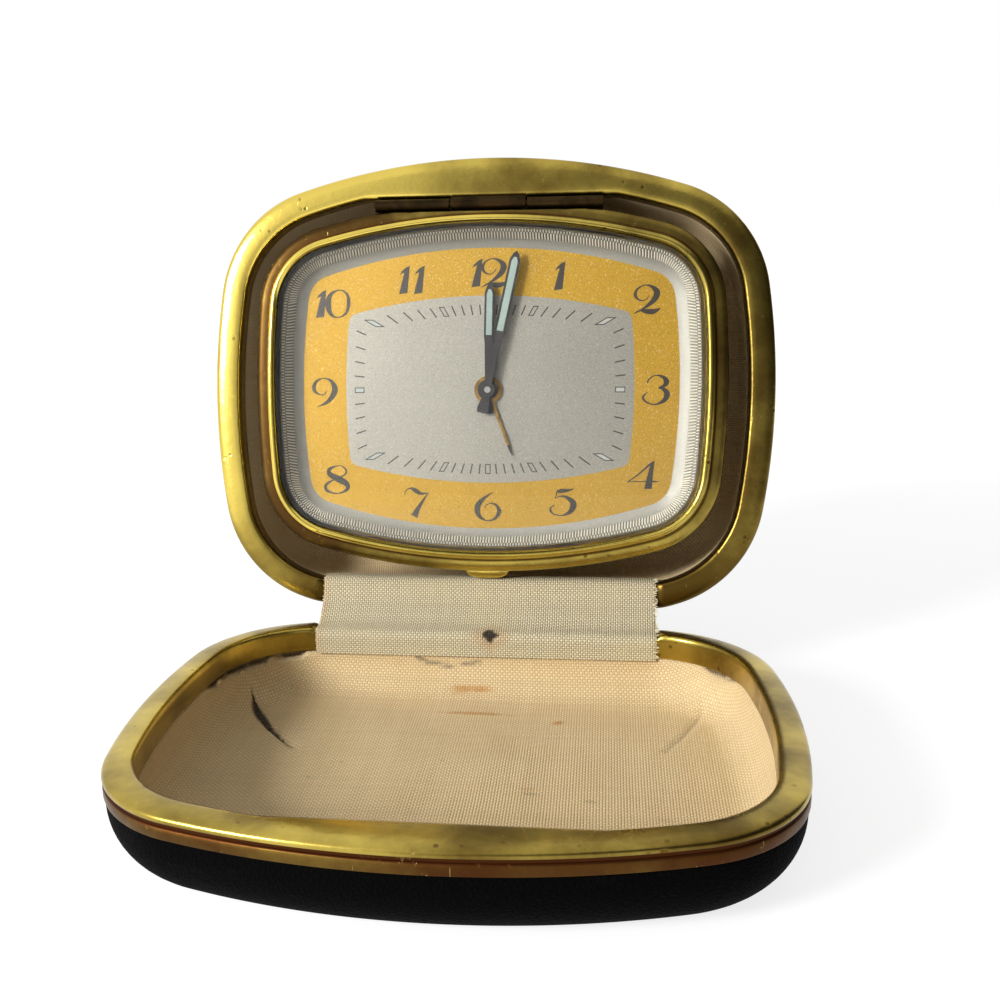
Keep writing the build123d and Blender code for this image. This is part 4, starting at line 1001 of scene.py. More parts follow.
def dish_rings(profile, line, floor_steps, floor):
    """Rings down a dish's wall, then shrinking over its floor towards the middle."""
    rings = [[(*inset_point(s, inset), height) for s in line] for inset, height in profile]
    edge = rings[-1]
    for step in range(1, floor_steps):
        k = 1 - step / floor_steps
        rings.append([(x * k, y * k, floor) for x, y, _ in edge])
    return rings


def quarter(centre, radius, steps):
    """The quarter turn from a dish's wall to its floor."""
    angles = [math.radians(180 + 90 * i / steps) for i in range(steps + 1)]
    return [
        (centre[0] + radius * math.cos(t), centre[1] + radius * math.sin(t)) for t in angles
    ]


cover_inset = 0.2
cover_top = -3.42
cover_lip = 0.22
cover_wall = 0.9
cover_rounding = 9.0
wall_spacing = 1.5
case_depths = {"lower": 13.5, "upper": 21.0}


class CLOCK_OT_covers(ClockPiece, bpy.types.Operator):
    """Makes the leather cloth covering of both halves"""

    bl_idname = "clock.covers"
    bl_label = "Leatherette covers"

    def make(self, sizes):
        count = len(case_line)
        for half, seat in case_seats.items():
            depth = case_depths[half]
            knee = cover_rounding - depth
            centre = (cover_inset + cover_rounding, knee)
            steps = 2 + int((cover_top - knee) / wall_spacing)
            drop = knee - cover_top + cover_lip
            outer = [(cover_inset + 0.25, cover_top), (cover_inset + 0.06, cover_top - 0.06)]
            outer += [(cover_inset, cover_top - cover_lip + drop * k / steps) for k in range(steps)]
            outer += quarter(centre, cover_rounding, 18)
            rings = dish_rings(outer, case_line, 12, -depth)
            inner = [(cover_inset + cover_wall, cover_top)]
            inner += quarter(centre, cover_rounding - cover_wall, 10)
            inside = dish_rings(inner, case_line, 5, cover_wall - depth)
            points, faces = capped(
                list(reversed(inside)) + rings, (0, 0, cover_wall - depth), (0, 0, -depth)
            )
            slots = [1] * (len(inside) * count) + [0] * ((len(rings) - 1) * count)
            slots += [1] * count + [0] * count
            piece = make_piece(
                f"{half}_leather_cover", points, faces, seat, ["leatherette", "shell_steel"],
                slots=slots,
            )
            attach(piece, f"{half}_case")
            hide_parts(f"{half}_cover", f"{half}_shell")


# Woven linings

left_slit = [(-36.6, 23.0), (-33.8, 17.6), (-30.9, 12.8), (-26.1, 7.2)]
slit_length = 20.8
slit_reaches = (0.55, 1.5)
right_crease = [(34.8, 32.0), (33.7, 22.4), (31.0, 15.5), (27.9, 9.8)]
crease_reach = 0.8

# Spots as (x, y, half width, half height, strength)
stains = (
    (-2.1, 27.75, 4.4, 0.42, 0.85), (-0.5, 20.9, 5.8, 0.55, 0.80), (-3.8, 27.2, 1.6, 0.35, 0.35),
    (1.5, 21.3, 2.2, 0.4, 0.5), (12.3, 18.5, 0.85, 0.80, 0.95), (-8.5, 26.0, 0.5, 0.3, 0.3),
    (9.0, -3.0, 1.0, 0.6, 0.45),
)
smudges = (
    (9.4, -4.2, 1.3, 0.5, 0.28), (17.5, -6.1, 1.4, 0.5, 0.25), (27.0, -10.4, 1.2, 0.5, 0.15),
    (-3.5, 4.5, 0.3, 0.3, 0.35), (-18.0, 3.0, 0.25, 0.25, 0.4), (-21.5, -2.0, 0.3, 0.25, 0.3),
    (3.5, 12.0, 0.25, 0.2, 0.3), (20.5, 9.0, 0.22, 0.2, 0.3),
)
wall_scuffs = ([(-10.8, 9.0), (-9.4, 8.2), (-7.1, 7.7), (-5.2, 7.4)], [(-3.4, 8.0), (-0.6, 8.2)])
scuff_start = 28.5


def blots(x, y, spots):
    total = 0.0
    for sx, sy, rx, ry, strength in spots:
        ragged = 0.35 * field.noise(Vector((x * 0.9, y * 0.9, 3.1)))
        away = math.hypot((x - sx) / rx, (y - sy) / ry) + ragged
        total = max(total, strength * (1 - smooth(0.55, 1.15, away)))
    return total


def map_and_mark(piece, maps, marks):
    """Gives a piece its weave map in millimetres and its stain colours."""
    layer = piece.data.uv_layers.new(name="weave")
    for loop in piece.data.loops:
        layer.data[loop.index].uv = maps[loop.vertex_index]
    paint(piece, "marks", [v for mark in marks for v in (*mark, 1.0)])


# Heights of each lining's top, floor and underside, and the radius of its cove
lining_settings = {
    "lower": (-3.85, -10.25, -11.8, 5.2),
    "upper": (-3.85, -18.85, -20.45, 6.0),
}
lining_face = 3.95
lining_back = 2.06


class CLOCK_OT_linings(ClockPiece, bpy.types.Operator):
    """Makes the padded woven linings as one soft bowl in each half"""

    bl_idname = "clock.linings"
    bl_label = "Woven linings"

    def make(self, sizes):
        self.bowl("lower", lower_seat, case_line, 70)
        self.bowl("upper", upper_seat, plain_case_line, 30)

    def bowl(self, half, seat, line, floor_steps):
        top, floor, under, cove = lining_settings[half]
        edge = top - 0.7
        wall = [(2.1, top - 0.25), (2.5, top), (3.3, top), (3.75, top - 0.2), (3.92, edge)]
        wall += [(lining_face, edge - (edge - floor - cove) * k / 5) for k in range(1, 5)]
        wall += [
            (lining_face + cove - cove * math.cos(t), floor + cove - cove * math.sin(t))
            for t in (math.radians(angle) for angle in range(0, 91, 6))
        ]
        rings = dish_rings(wall, line, floor_steps, floor)
        lengths = running_lengths([Vector(ring[0]) for ring in rings])
        knee = len(wall) - 1
        maps, marks, shaped = [], [], []
        for ring, done in zip(rings, lengths):
            new_ring = []
            for i, (x, y, z) in enumerate(ring):
                run = max(lengths[knee] - done, 0)
                foot = rings[knee][i] if run else (x, y)
                maps.append((foot[0] + line[i][2] * run, foot[1] + line[i][3] * run))
                new_ring.append(self.settle(half, x, y, z, floor))
                marks.append(self.mark(half, x, y, z))
            shaped.append(new_ring)
        back = [
            (lining_back, top - 0.4), (lining_back, under + 5.8), (3.2, under + 2.35),
            (5.5, under + 0.35), (8.0, under),
        ]
        outside = dish_rings(back, line, 4, under)
        points, faces = capped(
            list(reversed(outside)) + shaped, (0, 0, under), (0, 0, shaped[-1][0][2])
        )
        hidden = [(0.0, 0.0)] * (len(outside) * len(line))
        bare = [(0.0, 0.0, 0.0)]
        piece = make_piece(
            f"{half}_woven_lining", points, faces, seat, ["lining_cloth"], sharp=70
        )
        maps = hidden + maps + [(0.0, 0.0)] * 2
        map_and_mark(piece, maps, bare * len(hidden) + marks + bare * 2)
        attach(piece, f"{half}_case")
        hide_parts(f"{half}_lining_pad", f"{half}_lining_wall")

    def settle(self, half, x, y, z, floor):
        """Soft unevenness of the pad, with its slit, crease and torn or turned out edge."""
        soft = field.noise(Vector((x * 0.09, y * 0.09, 1.7))) * 0.22
        soft += field.noise(Vector((x * 0.3, y * 0.3, 5.2))) * 0.06
        low = 1 - smooth(0.3, 4.0, z - floor)
        z += (soft - 0.12) * low
        if half == "upper":
            turned_out = smooth(-9.0, -4.6, z) * smooth(-28.0, -33.0, y)
            turned_out *= 1 - smooth(25.0, 29.0, abs(x))
            return x, y + 0.75 * turned_out, z + 2.8 * turned_out
        row_x, row_y = -x, -y
        away, along = near_line(row_x, row_y, left_slit)
        if away < max(slit_reaches):
            deep = smooth(0.0, 4.0, along) * (1 - smooth(slit_length - 5, slit_length, along))
            reach = slit_reaches[0 if self.right_of(row_x, row_y, left_slit) else 1]
            z -= deep * 0.8 * (1 - smooth(0.0, reach, away)) * low
        away = near_line(row_x, row_y, right_crease)[0]
        if away < crease_reach:
            z -= 0.28 * (1 - smooth(0.0, crease_reach, away)) * low
        z -= self.tear(row_x, row_y) * smooth(4.4, 6.2, z - floor)
        return x, y, z

    def tear(self, x, y):
        """How far the ragged top edge has come away from the rim at the back corners."""
        left = smooth(-24.0, -28.0, x) * smooth(12.0, 16.0, y)
        right = smooth(34.0, 36.0, x) * smooth(20.0, 24.0, y)
        notch = smooth(0.02, 0.10, field.noise(Vector((x * 0.33, y * 0.33, 2.4))))
        return (1.1 * left + 0.8 * right) * (0.25 + 0.75 * notch)

    def scuff(self, x, height):
        away = min(near_line(x, height, run)[0] for run in wall_scuffs)
        away += 0.3 * field.noise(Vector((x * 1.7, height * 1.7, 8.0)))
        return 0.75 * (1 - smooth(0.1, 0.5, away))

    def right_of(self, x, y, line):
        (ax, ay), (bx, by) = line[0], line[-1]
        return (bx - ax) * (y - ay) - (by - ay) * (x - ax) < 0

    def mark(self, half, x, y, z):
        """How stained and scuffed the cloth is at a point, and how dark: smudges, and painted shade along
        the slit and the crease.
        """
        if half == "upper":
            return 0.0, 0.0, 0.0
        row_x, row_y = -x, -y
        # Painted shade along the slit and the crease
        away, along = near_line(row_x, row_y, left_slit)
        wide = 0.08 + 0.85 * smooth(0.2, 4.0, along) * (1 - smooth(5.0, 20.5, along))
        dark = 0.99 * (1 - smooth(wide * 0.65, wide, away)) * smooth(0.0, 0.8, along)
        away, along = near_line(row_x, row_y, right_crease)
        dark = max(dark, 0.38 * (1 - smooth(0.08, 0.36, away)) * smooth(7.0, 11.5, along))
        return (
            blots(row_x, row_y, stains),
            max(dark, blots(row_x, row_y, smudges)),
            self.scuff(row_x, z + case_depths[half]) if row_y > scuff_start else 0.0,
        )


strap_path = (
    (29.25, 9.3), (29.25, 13.2), (32.4, 13.2), (36.50, 16.617), (37.07, 19.715), (40.91, 19.01)
)
strap_edge = 27.2
strap_thickness = 0.5
strap_spacing = 0.3
strap_columns = 181
strap_blend = ((0, 0.0330, 0.0133), (0, 0.0360, 0.0169))
worn_hole = (1.1, 29.2, 13.15)


def rounded_run(path, spacing, rounds=3):
    """A run of points with its corners cut smooth, at an even spacing."""
    run = [Vector(p) for p in path]
    for _ in range(rounds):
        cut = [run[0]]
        for a, b in zip(run, run[1:]):
            cut += [a.lerp(b, 0.22), a.lerp(b, 0.78)]
        run = cut + [run[-1]]
    lengths = running_lengths(run)
    count = int(lengths[-1] / spacing)
    even, k = [], 0
    for i in range(count + 1):
        goal = lengths[-1] * i / count
        while k < len(run) - 2 and lengths[k + 1] < goal:
            k += 1
        share = (goal - lengths[k]) / (lengths[k + 1] - lengths[k])
        even.append(run[k].lerp(run[k + 1], share))
    return even, lengths[-1]


class CLOCK_OT_strap(ClockPiece, bpy.types.Operator):
    """Makes the woven strap that bridges the hinge, with its frayed edges"""

    bl_idname = "clock.strap"
    bl_label = "Hinge strap"

    def make(self, sizes):
        run, length = rounded_run(strap_path, strap_spacing)
        rows, across = len(run), strap_columns
        layers, maps, marks = [], [], []
        for side in (1, -1):
            rings = []
            for i, place in enumerate(run):
                ahead, behind = run[min(i + 1, rows - 1)], run[max(i - 1, 0)]
                along = (ahead - behind).normalized()
                normal = Vector((-along.y, along.x))
                ring = []
                for k in range(across):
                    t = 2 * k / (across - 1) - 1
                    ragged = field.noise(Vector((i * 0.45, 3.0 if t > 0 else 9.0, 0.5)))
                    fray = 0.32 * abs(ragged)
                    x = t * (strap_edge - fray * (1.0 if t > 0 else 0.45))
                    ripple = 0.10 * field.noise(Vector((x * 0.16, i * 0.07, 2.0)))
                    half = strap_thickness * 0.42 * (1 - 0.5 * smooth(0.985, 1.0, abs(t)))
                    off = side * half + ripple * 0.5 - self.dip(x, place) * 0.16
                    point = place + normal * off
                    ring.append((x, point.x, point.y))
                    maps.append((x, length * i / (rows - 1)))
                    marks.append(self.mark(x, place, i))
                rings.append(ring)
            layers.append(rings)
        top, bottom = layers
        count = rows * across
        sheet = loft(top, close_rings=False)
        faces = sheet + [tuple(reversed([v + count for v in face])) for face in sheet]
        long_edges = [
            (i * across + k, (i + 1) * across + k)
            for i in range(rows - 1) for k in (0, across - 1)
        ]
        short_edges = [
            (i * across + k, i * across + k + 1) for i in (0, rows - 1) for k in range(across - 1)
        ]
        faces += [(a, b, b + count, a + count) for a, b in long_edges + short_edges]
        piece = make_piece(
            "hinge_strap_cloth", flat(top) + flat(bottom), faces, row_seat, ["strap_cloth"],
            sharp=70,
        )
        map_and_mark(piece, maps, marks)
        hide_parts("hinge_strap")
        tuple(strap_blend[0])
        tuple(strap_blend[1])
        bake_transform(piece)
        ends = self.thread_ends(run)

    def thread_ends(self, run):
        """Cut thread ends that stand out along both edges, most of them on the right."""
        random.seed(11)
        places = []
        for i in range(2, len(run) - 2):
            along = (run[i + 1] - run[i - 1]).normalized()
            up = Vector((0, -along.y, along.x))
            for side, share, stretch in ((1, 0.95, 1.0), (-1, 0.5, 0.6)):
                if random.random() > share:
                    continue
                reach = random.uniform(0.35, 0.95) * stretch
                lift = random.uniform(-0.12, 0.22)
                lean = Vector((side, *(along * random.uniform(-0.5, 0.5))))
                lean += up * random.uniform(-0.3, 0.4)
                point = Vector((side * (strap_edge - 0.25 + reach * 0.25), *run[i])) + up * lift
                thick = random.uniform(0.10, 0.20)
                size = (reach * MM, thick * MM, thick * MM)
                places.append((point * MM, frame_turn(lean, up), size))
        angles = [math.pi * k / 3 for k in range(6)]
        shape = ridge_shape("thread_end", [(0.5 * math.cos(t), 0.5 * math.sin(t)) for t in angles])
        ends = place_copies("strap_thread_ends", places, shape, "thread", sharp=80)
        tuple(strap_blend[0])
        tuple(strap_blend[1])
        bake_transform(ends)
        return ends

    def from_hole(self, place):
        return (place - Vector(worn_hole[1:])).length

    def dip(self, x, place):
        away = math.hypot((x - worn_hole[0]) / 1.7, self.from_hole(place) / 1.3)
        return 1 - smooth(0.3, 1.1, away)

    def mark(self, x, place, row):
        away = abs(x - worn_hole[0]) / 2.3 + self.from_hole(place) / 1.9
        away += 0.45 * field.noise(Vector((x * 1.3, row * 0.45, 6.0)))
        # The hole is not cut: its dark inside is painted shade
        hole = 1 - smooth(0.72, 0.92, away)
        halo = 0.40 * (1 - smooth(0.9, 2.2, away))
        yellow = 0.30 * smooth(0.93, 1.0, -x / strap_edge)
        return max(halo, yellow), hole, 0.0


# Clock head

bezel_profile = (
    (-3.5, 0.0), (-3.6, 0.15), (-3.6, 0.9), (-3.5, 1.2), (-3.2, 1.45), (-2.7, 1.58), (-2.1, 1.6),
    (-1.8, 1.62), (-1.68, 1.85), (-1.6, 2.3), (-1.45, 2.8), (-1.15, 3.25), (-0.8, 3.4),
    (-0.45, 3.28), (-0.15, 2.95), (0.0, 2.5), (0.0, 0.8), (-1.05, 0.8), (-1.05, 0.0),
)
# Olive and brown round the bezel, by degrees anticlockwise from its right side: partly tarnish and partly
# painted light and shade, the bead lighter on the left, the flange darker on the left and lighter at the
# bottom where bounce light falls
bead_tarnish_and_light = (
    (0, 0.6), (60, 0.5), (90, 0.3), (120, 0.2), (150, 0.1), (200, 0.15), (240, 0.3), (270, 0.35),
    (310, 0.45), (360, 0.6),
)
flange_tarnish_and_light = (
    (0, 0.75), (90, 0.7), (140, 1.0), (215, 1.0), (240, 0.6), (270, 0.4), (310, 0.5), (360, 0.75)
)
flange_brown = (
    (0, 0.35), (90, 0.25), (140, 0.35), (220, 0.35), (265, 0.05), (320, 0.2), (360, 0.35)
)
flange_top = 1.61
bead_foot = -1.75
hinge_cut_y = 27.6
hinge_cut_half = 18.3


def face_ring(line, inset, height):
    return [(x - inset * nx, y - inset * ny, height) for x, y, nx, ny in line]


def box_on_clock(node):
    """Lowest and highest corner of a solid, in the clock's millimetres."""
    back = clock_seat.inverted()
    local = [back @ v.co for v in nodes[node].data.vertices]
    return [Vector([pick(v[i] for v in local) for i in range(3)]) for pick in (min, max)]


class CLOCK_OT_bezel(ClockPiece, bpy.types.Operator):
    """Makes the bezel: a flat flange with a raised bright bead round the crystal"""

    bl_idname = "clock.bezel"
    bl_label = "Bezel"

    def make(self, sizes):
        rings = []
        for inset, height in bezel_profile:
            ring = face_ring(glass_line, inset, height)
            if height < flange_top:
                ring = [
                    (x, min(y, hinge_cut_y) if abs(x) < hinge_cut_half else y, z)
                    for x, y, z in ring
                ]
            rings.append(ring)
        piece = make_piece(
            "brass_bezel", flat(rings), loft(rings, close_loop=True), clock_seat,
            ["bezel_brass"], sharp=50,
        )
        marks = []
        for (inset, height), ring in zip(bezel_profile, rings):
            for x, y, _ in ring:
                turn = math.degrees(math.atan2(y, x)) % 360
                if inset > bead_foot:
                    olive, brown = between(bead_tarnish_and_light, turn), 0.0
                else:
                    olive, brown = between(flange_tarnish_and_light, turn), between(flange_brown, turn)
                if -1.85 < inset < -1.62:
                    brown = 0.9
                marks += [olive, brown, 0.0, 1.0]
        paint(piece, "tarnish", marks)
        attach(piece, "clock_head")
        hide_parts("bezel")


class CLOCK_OT_pull_tab(ClockPiece, bpy.types.Operator):
    """Makes the rounded tab that swings the clock out of its case"""

    bl_idname = "clock.pull_tab"
    bl_label = "Pull tab"

    def make(self, sizes):
        low, high = box_on_clock("pull_tab")
        half, drop = (high.x - low.x) / 2, high.y - low.y
        outline = [(half, high.y)]
        for t in (math.pi * k / 24 for k in range(25)):
            x = half * math.copysign(abs(math.cos(t)) ** 0.55, math.cos(t))
            outline.append((x, high.y - 0.3 * drop - 0.7 * drop * math.sin(t) ** 0.8))
        outline.append((-half, high.y))
        profile = (
            (0.14, low.z), (0.0, low.z + 0.14), (0.0, high.z - 0.18), (0.05, high.z - 0.06),
            (0.18, high.z),
        )
        rings = []
        for inset, height in profile:
            shrink = 1 - inset / half
            rings.append([(x * shrink, min(y + inset, high.y), height) for x, y in outline])
        middle = high.y - drop / 2
        points, faces = capped(rings, (0, middle, low.z), (0, middle, high.z))
        piece = make_piece(
            "brass_pull_tab", points, faces, clock_seat, ["bezel_brass"], sharp=60
        )
        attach(piece, "clock_head")
        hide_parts("pull_tab")


crystal_apex = 5.8
crystal_radius = 250.0
crystal_wall = 1.3
crystal_foot = 0.85
crystal_steps = 24
# Shares of the outline, across and up, where the dome ends inside and where the lip stands
crystal_inside = (0.984, 0.980)
crystal_lip = (0.988, 0.985)


class CLOCK_OT_crystal(ClockPiece, bpy.types.Operator):
    """Makes the domed crystal"""

    bl_idname = "clock.crystal"
    bl_label = "Crystal"

    def make(self, sizes):
        edge = [(x, y) for x, y, _ in face_ring(glass_line, 0.06, 0)]
        shares = [i / crystal_steps for i in range(1, crystal_steps)]

        def dome(x, y, drop):
            sag = math.sqrt(crystal_radius**2 - x * x - y * y)
            return crystal_apex - drop - crystal_radius + sag

        def shell(across, up, drop):
            return [(x * across, y * up, dome(x * across, y * up, drop)) for x, y in edge]

        rings = [shell(k, k, crystal_wall) for k in shares]
        rings.append(shell(*crystal_inside, crystal_wall))
        rings.append([(x * crystal_lip[0], y * crystal_lip[1], crystal_foot) for x, y in edge])
        rings.append([(x, y, crystal_foot) for x, y in edge])
        outer_shares = [1 - i / crystal_steps for i in range(crystal_steps)]
        rings += [shell(k, k, 0) for k in outer_shares]
        points, faces = capped(rings, (0, 0, dome(0, 0, crystal_wall)), (0, 0, dome(0, 0, 0)))
        piece = make_piece("domed_crystal", points, faces, clock_seat, ["crystal"], sharp=40)
        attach(piece, "clock_head")
        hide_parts("crystal")


dial_top = -1.0
# The reflector's outer edge: inset from the crystal's outline, and height
reflector_outer = (0.54, 1.55)
reflector_wall = 0.35
slope_steps = 16
groove_step = 8
back_step = 3
# Rows of flutes: where they start and end on the slope, and their shift in pitches
flute_rows = ((0.52, 0.83, 0.0), (0.87, 0.97, 0.5))
flute_width_share = 0.62
flute_height = 0.42
flute_sink = 0.06


def slope_point(index, t):
    """A point of the reflector's slope, from the dial at 0 to the crystal at 1."""
    ax, ay = gold_line[index][:2]
    x, y, nx, ny = glass_line[index]
    bx, by = x - reflector_outer[0] * nx, y - reflector_outer[0] * ny
    rise = 0.35 * t + 0.65 * t**2.4
    height = dial_top + 0.02 + (reflector_outer[1] - dial_top) * rise
    return ax + (bx - ax) * t, ay + (by - ay) * t, height


class CLOCK_OT_reflector(ClockPiece, bpy.types.Operator):
    """Makes the silvered slope round the dial and its fine flutes"""

    bl_idname = "clock.reflector"
    bl_label = "Reflector ring"

    def make(self, sizes):
        count = len(glass_line)
        rings = [
            [slope_point(i, k / slope_steps) for i in range(count)] for k in range(slope_steps + 1)
        ]
        rings += [
            [(x, y, z - reflector_wall) for x, y, z in rings[k]]
            for k in range(slope_steps, back_step, -1)
        ]
        # Painted shade: the fluted band takes the darker copy of the lacquer
        slots = [
            int(groove_step <= k < slope_steps) for k in range(len(rings)) for _ in range(count)
        ]
        piece = make_piece(
            "silvered_reflector", flat(rings), loft(rings, close_loop=True), clock_seat,
            ["reflector_silver", "reflector_groove"], sharp=60, slots=slots,
        )
        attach(piece, "clock_head")
        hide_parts("reflector_ring")
        self.flutes(sizes)

    def flutes(self, sizes):
        count = len(glass_line)
        outer = [Vector(slope_point(i, 1.0)) for i in range(count)]
        lengths = running_lengths(outer + outer[:1])
        turn_in = clock_seat.to_3x3()
        places = []
        pitch = lengths[-1] / sizes.flutes
        for start, end, shift in flute_rows:
            k = 0
            for n in range(sizes.flutes):
                goal = (n + shift) * pitch
                while lengths[k + 1] < goal:
                    k += 1
                t = (goal - lengths[k]) / (lengths[k + 1] - lengths[k])
                a, b = (
                    Vector(slope_point(k, row)).lerp(Vector(slope_point((k + 1) % count, row)), t)
                    for row in (start, end)
                )
                middle = (a + b) / 2 - Vector((0, 0, flute_sink))
                along = b - a
                turn = frame_turn(turn_in @ along, turn_in @ Vector((0, 0, 1)))
                size = (along.length * MM, pitch * flute_width_share * MM, flute_height * MM)
                places.append((clock_seat @ middle, turn, size))
        section = ((-0.5, -0.35), (0.5, -0.35), (0.34, 0.22), (0.0, 0.42), (-0.34, 0.22))
        shape = ridge_shape("flute", section)
        # Painted highlight: the flutes take the lighter copy of the lacquer
        piece = place_copies("reflector_flutes", places, shape, "reflector_flute", sharp=80)
        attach(piece, "clock_head")


# Dial

print_lift = 0.015
hub_hole = 1.2
plate_inset = 0.7
plate_step = 0.38
plate_bottom = 0.4
mark_insets = (1.4, 3.0)
five_minute_halves = (0.45, 0.78)
five_minute_fill = {
    **dict.fromkeys((2, 3, 4), "lume_white"), **dict.fromkeys((8, 9, 10), "lume_grey")
}

numeral_centres = {
    12: (0.10, 18.37), 1: (11.20, 17.72), 2: (24.87, 13.96), 3: (26.32, -0.08), 4: (24.74, -13.50),
    5: (11.90, -17.95), 6: (-0.14, -18.73), 7: (-11.7, -18.10), 8: (-25.10, -14.52),
    9: (-26.92, -0.33), 10: (-25.32, 13.82), 11: (-12.32, 17.42),
}
tall_numerals = (3, 6, 7, 8, 9)
tall_share = 1.05
pen = 1.14

# Each digit: filled outlines, open pen strokes and closed pen strokes, one unit tall
digits = {
    "1": ([
        ((.40, 1), (.31, .04), (0, 0), (.14, .55), (.20, .77), (.10, .72), (.02, .66), (.10, .80),
         (.24, .93)),
    ], [], []),
    "2": ([], [
        ((.54, .64, .02), (.46, .52, .03), (.30, .45, .035), (.12, .53, .07), (.05, .68, .10),
         (.14, .87, .06), (.38, .985, .035), (.62, .93, .09), (.80, .74, .19), (.72, .50, .17),
         (.50, .29, .10), (.25, .12, .05), (0, 0, .02)),
        ((0, 0, .02), (.22, .11, .05), (.42, .085, .14), (.65, .07, .16), (.82, .12, .10),
         (.93, .19, .03)),
    ], []),
    "3": ([], [
        ((.17, .74, .05), (.24, .88, .04), (.45, .985, .035), (.68, .93, .09), (.80, .78, .16),
         (.72, .64, .10), (.53, .57, .03)),
        ((.53, .57, .03), (.70, .53, .10), (.83, .36, .17), (.72, .14, .12), (.42, .015, .04),
         (.14, .10, .05), (.03, .24, .07), (.10, .36, .04), (.19, .41, .02)),
    ], []),
    "4": ([((.98, 1), (.83, .90), (.72, .45), (.62, 0), (.89, .02), (.93, .6))], [
        ((.97, 1, .03), (.80, .88, .06), (.40, .52, .05), (.03, .255, .035)),
        ((0, .255, .02), (.30, .275, .03), (.75, .275, .035), (1.0, .28, .05), (1.14, .285, .015)),
    ], []),
    "5": ([], [
        ((.30, .95, .03), (.34, .91, .12), (.50, .925, .13), (.68, .945, .09), (.87, 1, .02)),
        ((.29, .95, .04), (.25, .80, .035), (.21, .645, .03)),
        ((.21, .645, .02), (.38, .72, .04), (.62, .69, .10), (.86, .47, .20), (.78, .20, .16),
         (.50, .04, .05), (.20, .06, .04), (.04, .20, .07), (.07, .33, .05), (.19, .40, .03)),
    ], []),
    "6": ([], [
        ((.66, 1, .02), (.42, .86, .07), (.17, .62, .16), (.10, .40, .18), (.18, .16, .12),
         (.42, .02, .04), (.70, .08, .08), (.86, .33, .13), (.76, .55, .08), (.56, .62, .035),
         (.40, .54, .03), (.36, .44, .03)),
    ], []),
    "7": ([], [
        ((.02, .73, .02), (.06, .88, .03), (.22, .985, .05), (.42, .90, .14), (.60, .80, .09),
         (.87, .83, .02)),
        ((.86, .82, .02), (.70, .60, .06), (.52, .32, .12), (.40, .08, .19), (.36, 0, .25)),
    ], []),
    "8": ([], [], [
        ((.50, .985, .03), (.22, .88, .10), (.20, .70, .15), (.48, .54, .20), (.80, .36, .17),
         (.82, .16, .10), (.48, .015, .04), (.10, .12, .09), (.08, .33, .09), (.40, .52, .04),
         (.72, .66, .05), (.80, .82, .06), (.68, .95, .04)),
    ]),
    "9": ([], [
        ((.50, .55, .03), (.44, .44, .035), (.28, .42, .035), (.10, .53, .09), (.06, .70, .12),
         (.16, .89, .08), (.40, .985, .035), (.66, .90, .09), (.80, .64, .18), (.72, .38, .16),
         (.50, .15, .10), (.18, 0, .02)),
    ], []),
    "0": ([], [], [
        ((.55, .985, .035), (.22, .85, .11), (.10, .50, .20), (.20, .14, .12), (.45, .015, .04),
         (.76, .16, .08), (.86, .52, .12), (.80, .84, .08)),
    ]),
}
# Left edge of each digit of a two digit number, in heights from the number's left edge
two_digit_steps = {10: (0.0, 0.36), 11: (0.0, 0.54), 12: (0.0, 0.35)}
two_digit_widths = {10: 1.236, 11: 0.94, 12: 1.28}


def outline_hit(line, inset, x, y):
    """Where a ray from the middle through (x, y) meets an inset outline."""
    ring = [(a - inset * nx, b - inset * ny) for a, b, nx, ny in line]
    for (ax, ay), (bx, by) in zip(ring, ring[1:] + ring[:1]):
        ex, ey = bx - ax, by - ay
        det = x * ey - y * ex
        if abs(det) < 1e-9:
            continue
        far = (ax * ey - ay * ex) / det
        t = (ax * y - ay * x) / det
        if far > 0 and -1e-9 <= t <= 1 + 1e-9:
            return far * x, far * y
    raise ValueError("the ray leaves no outline")


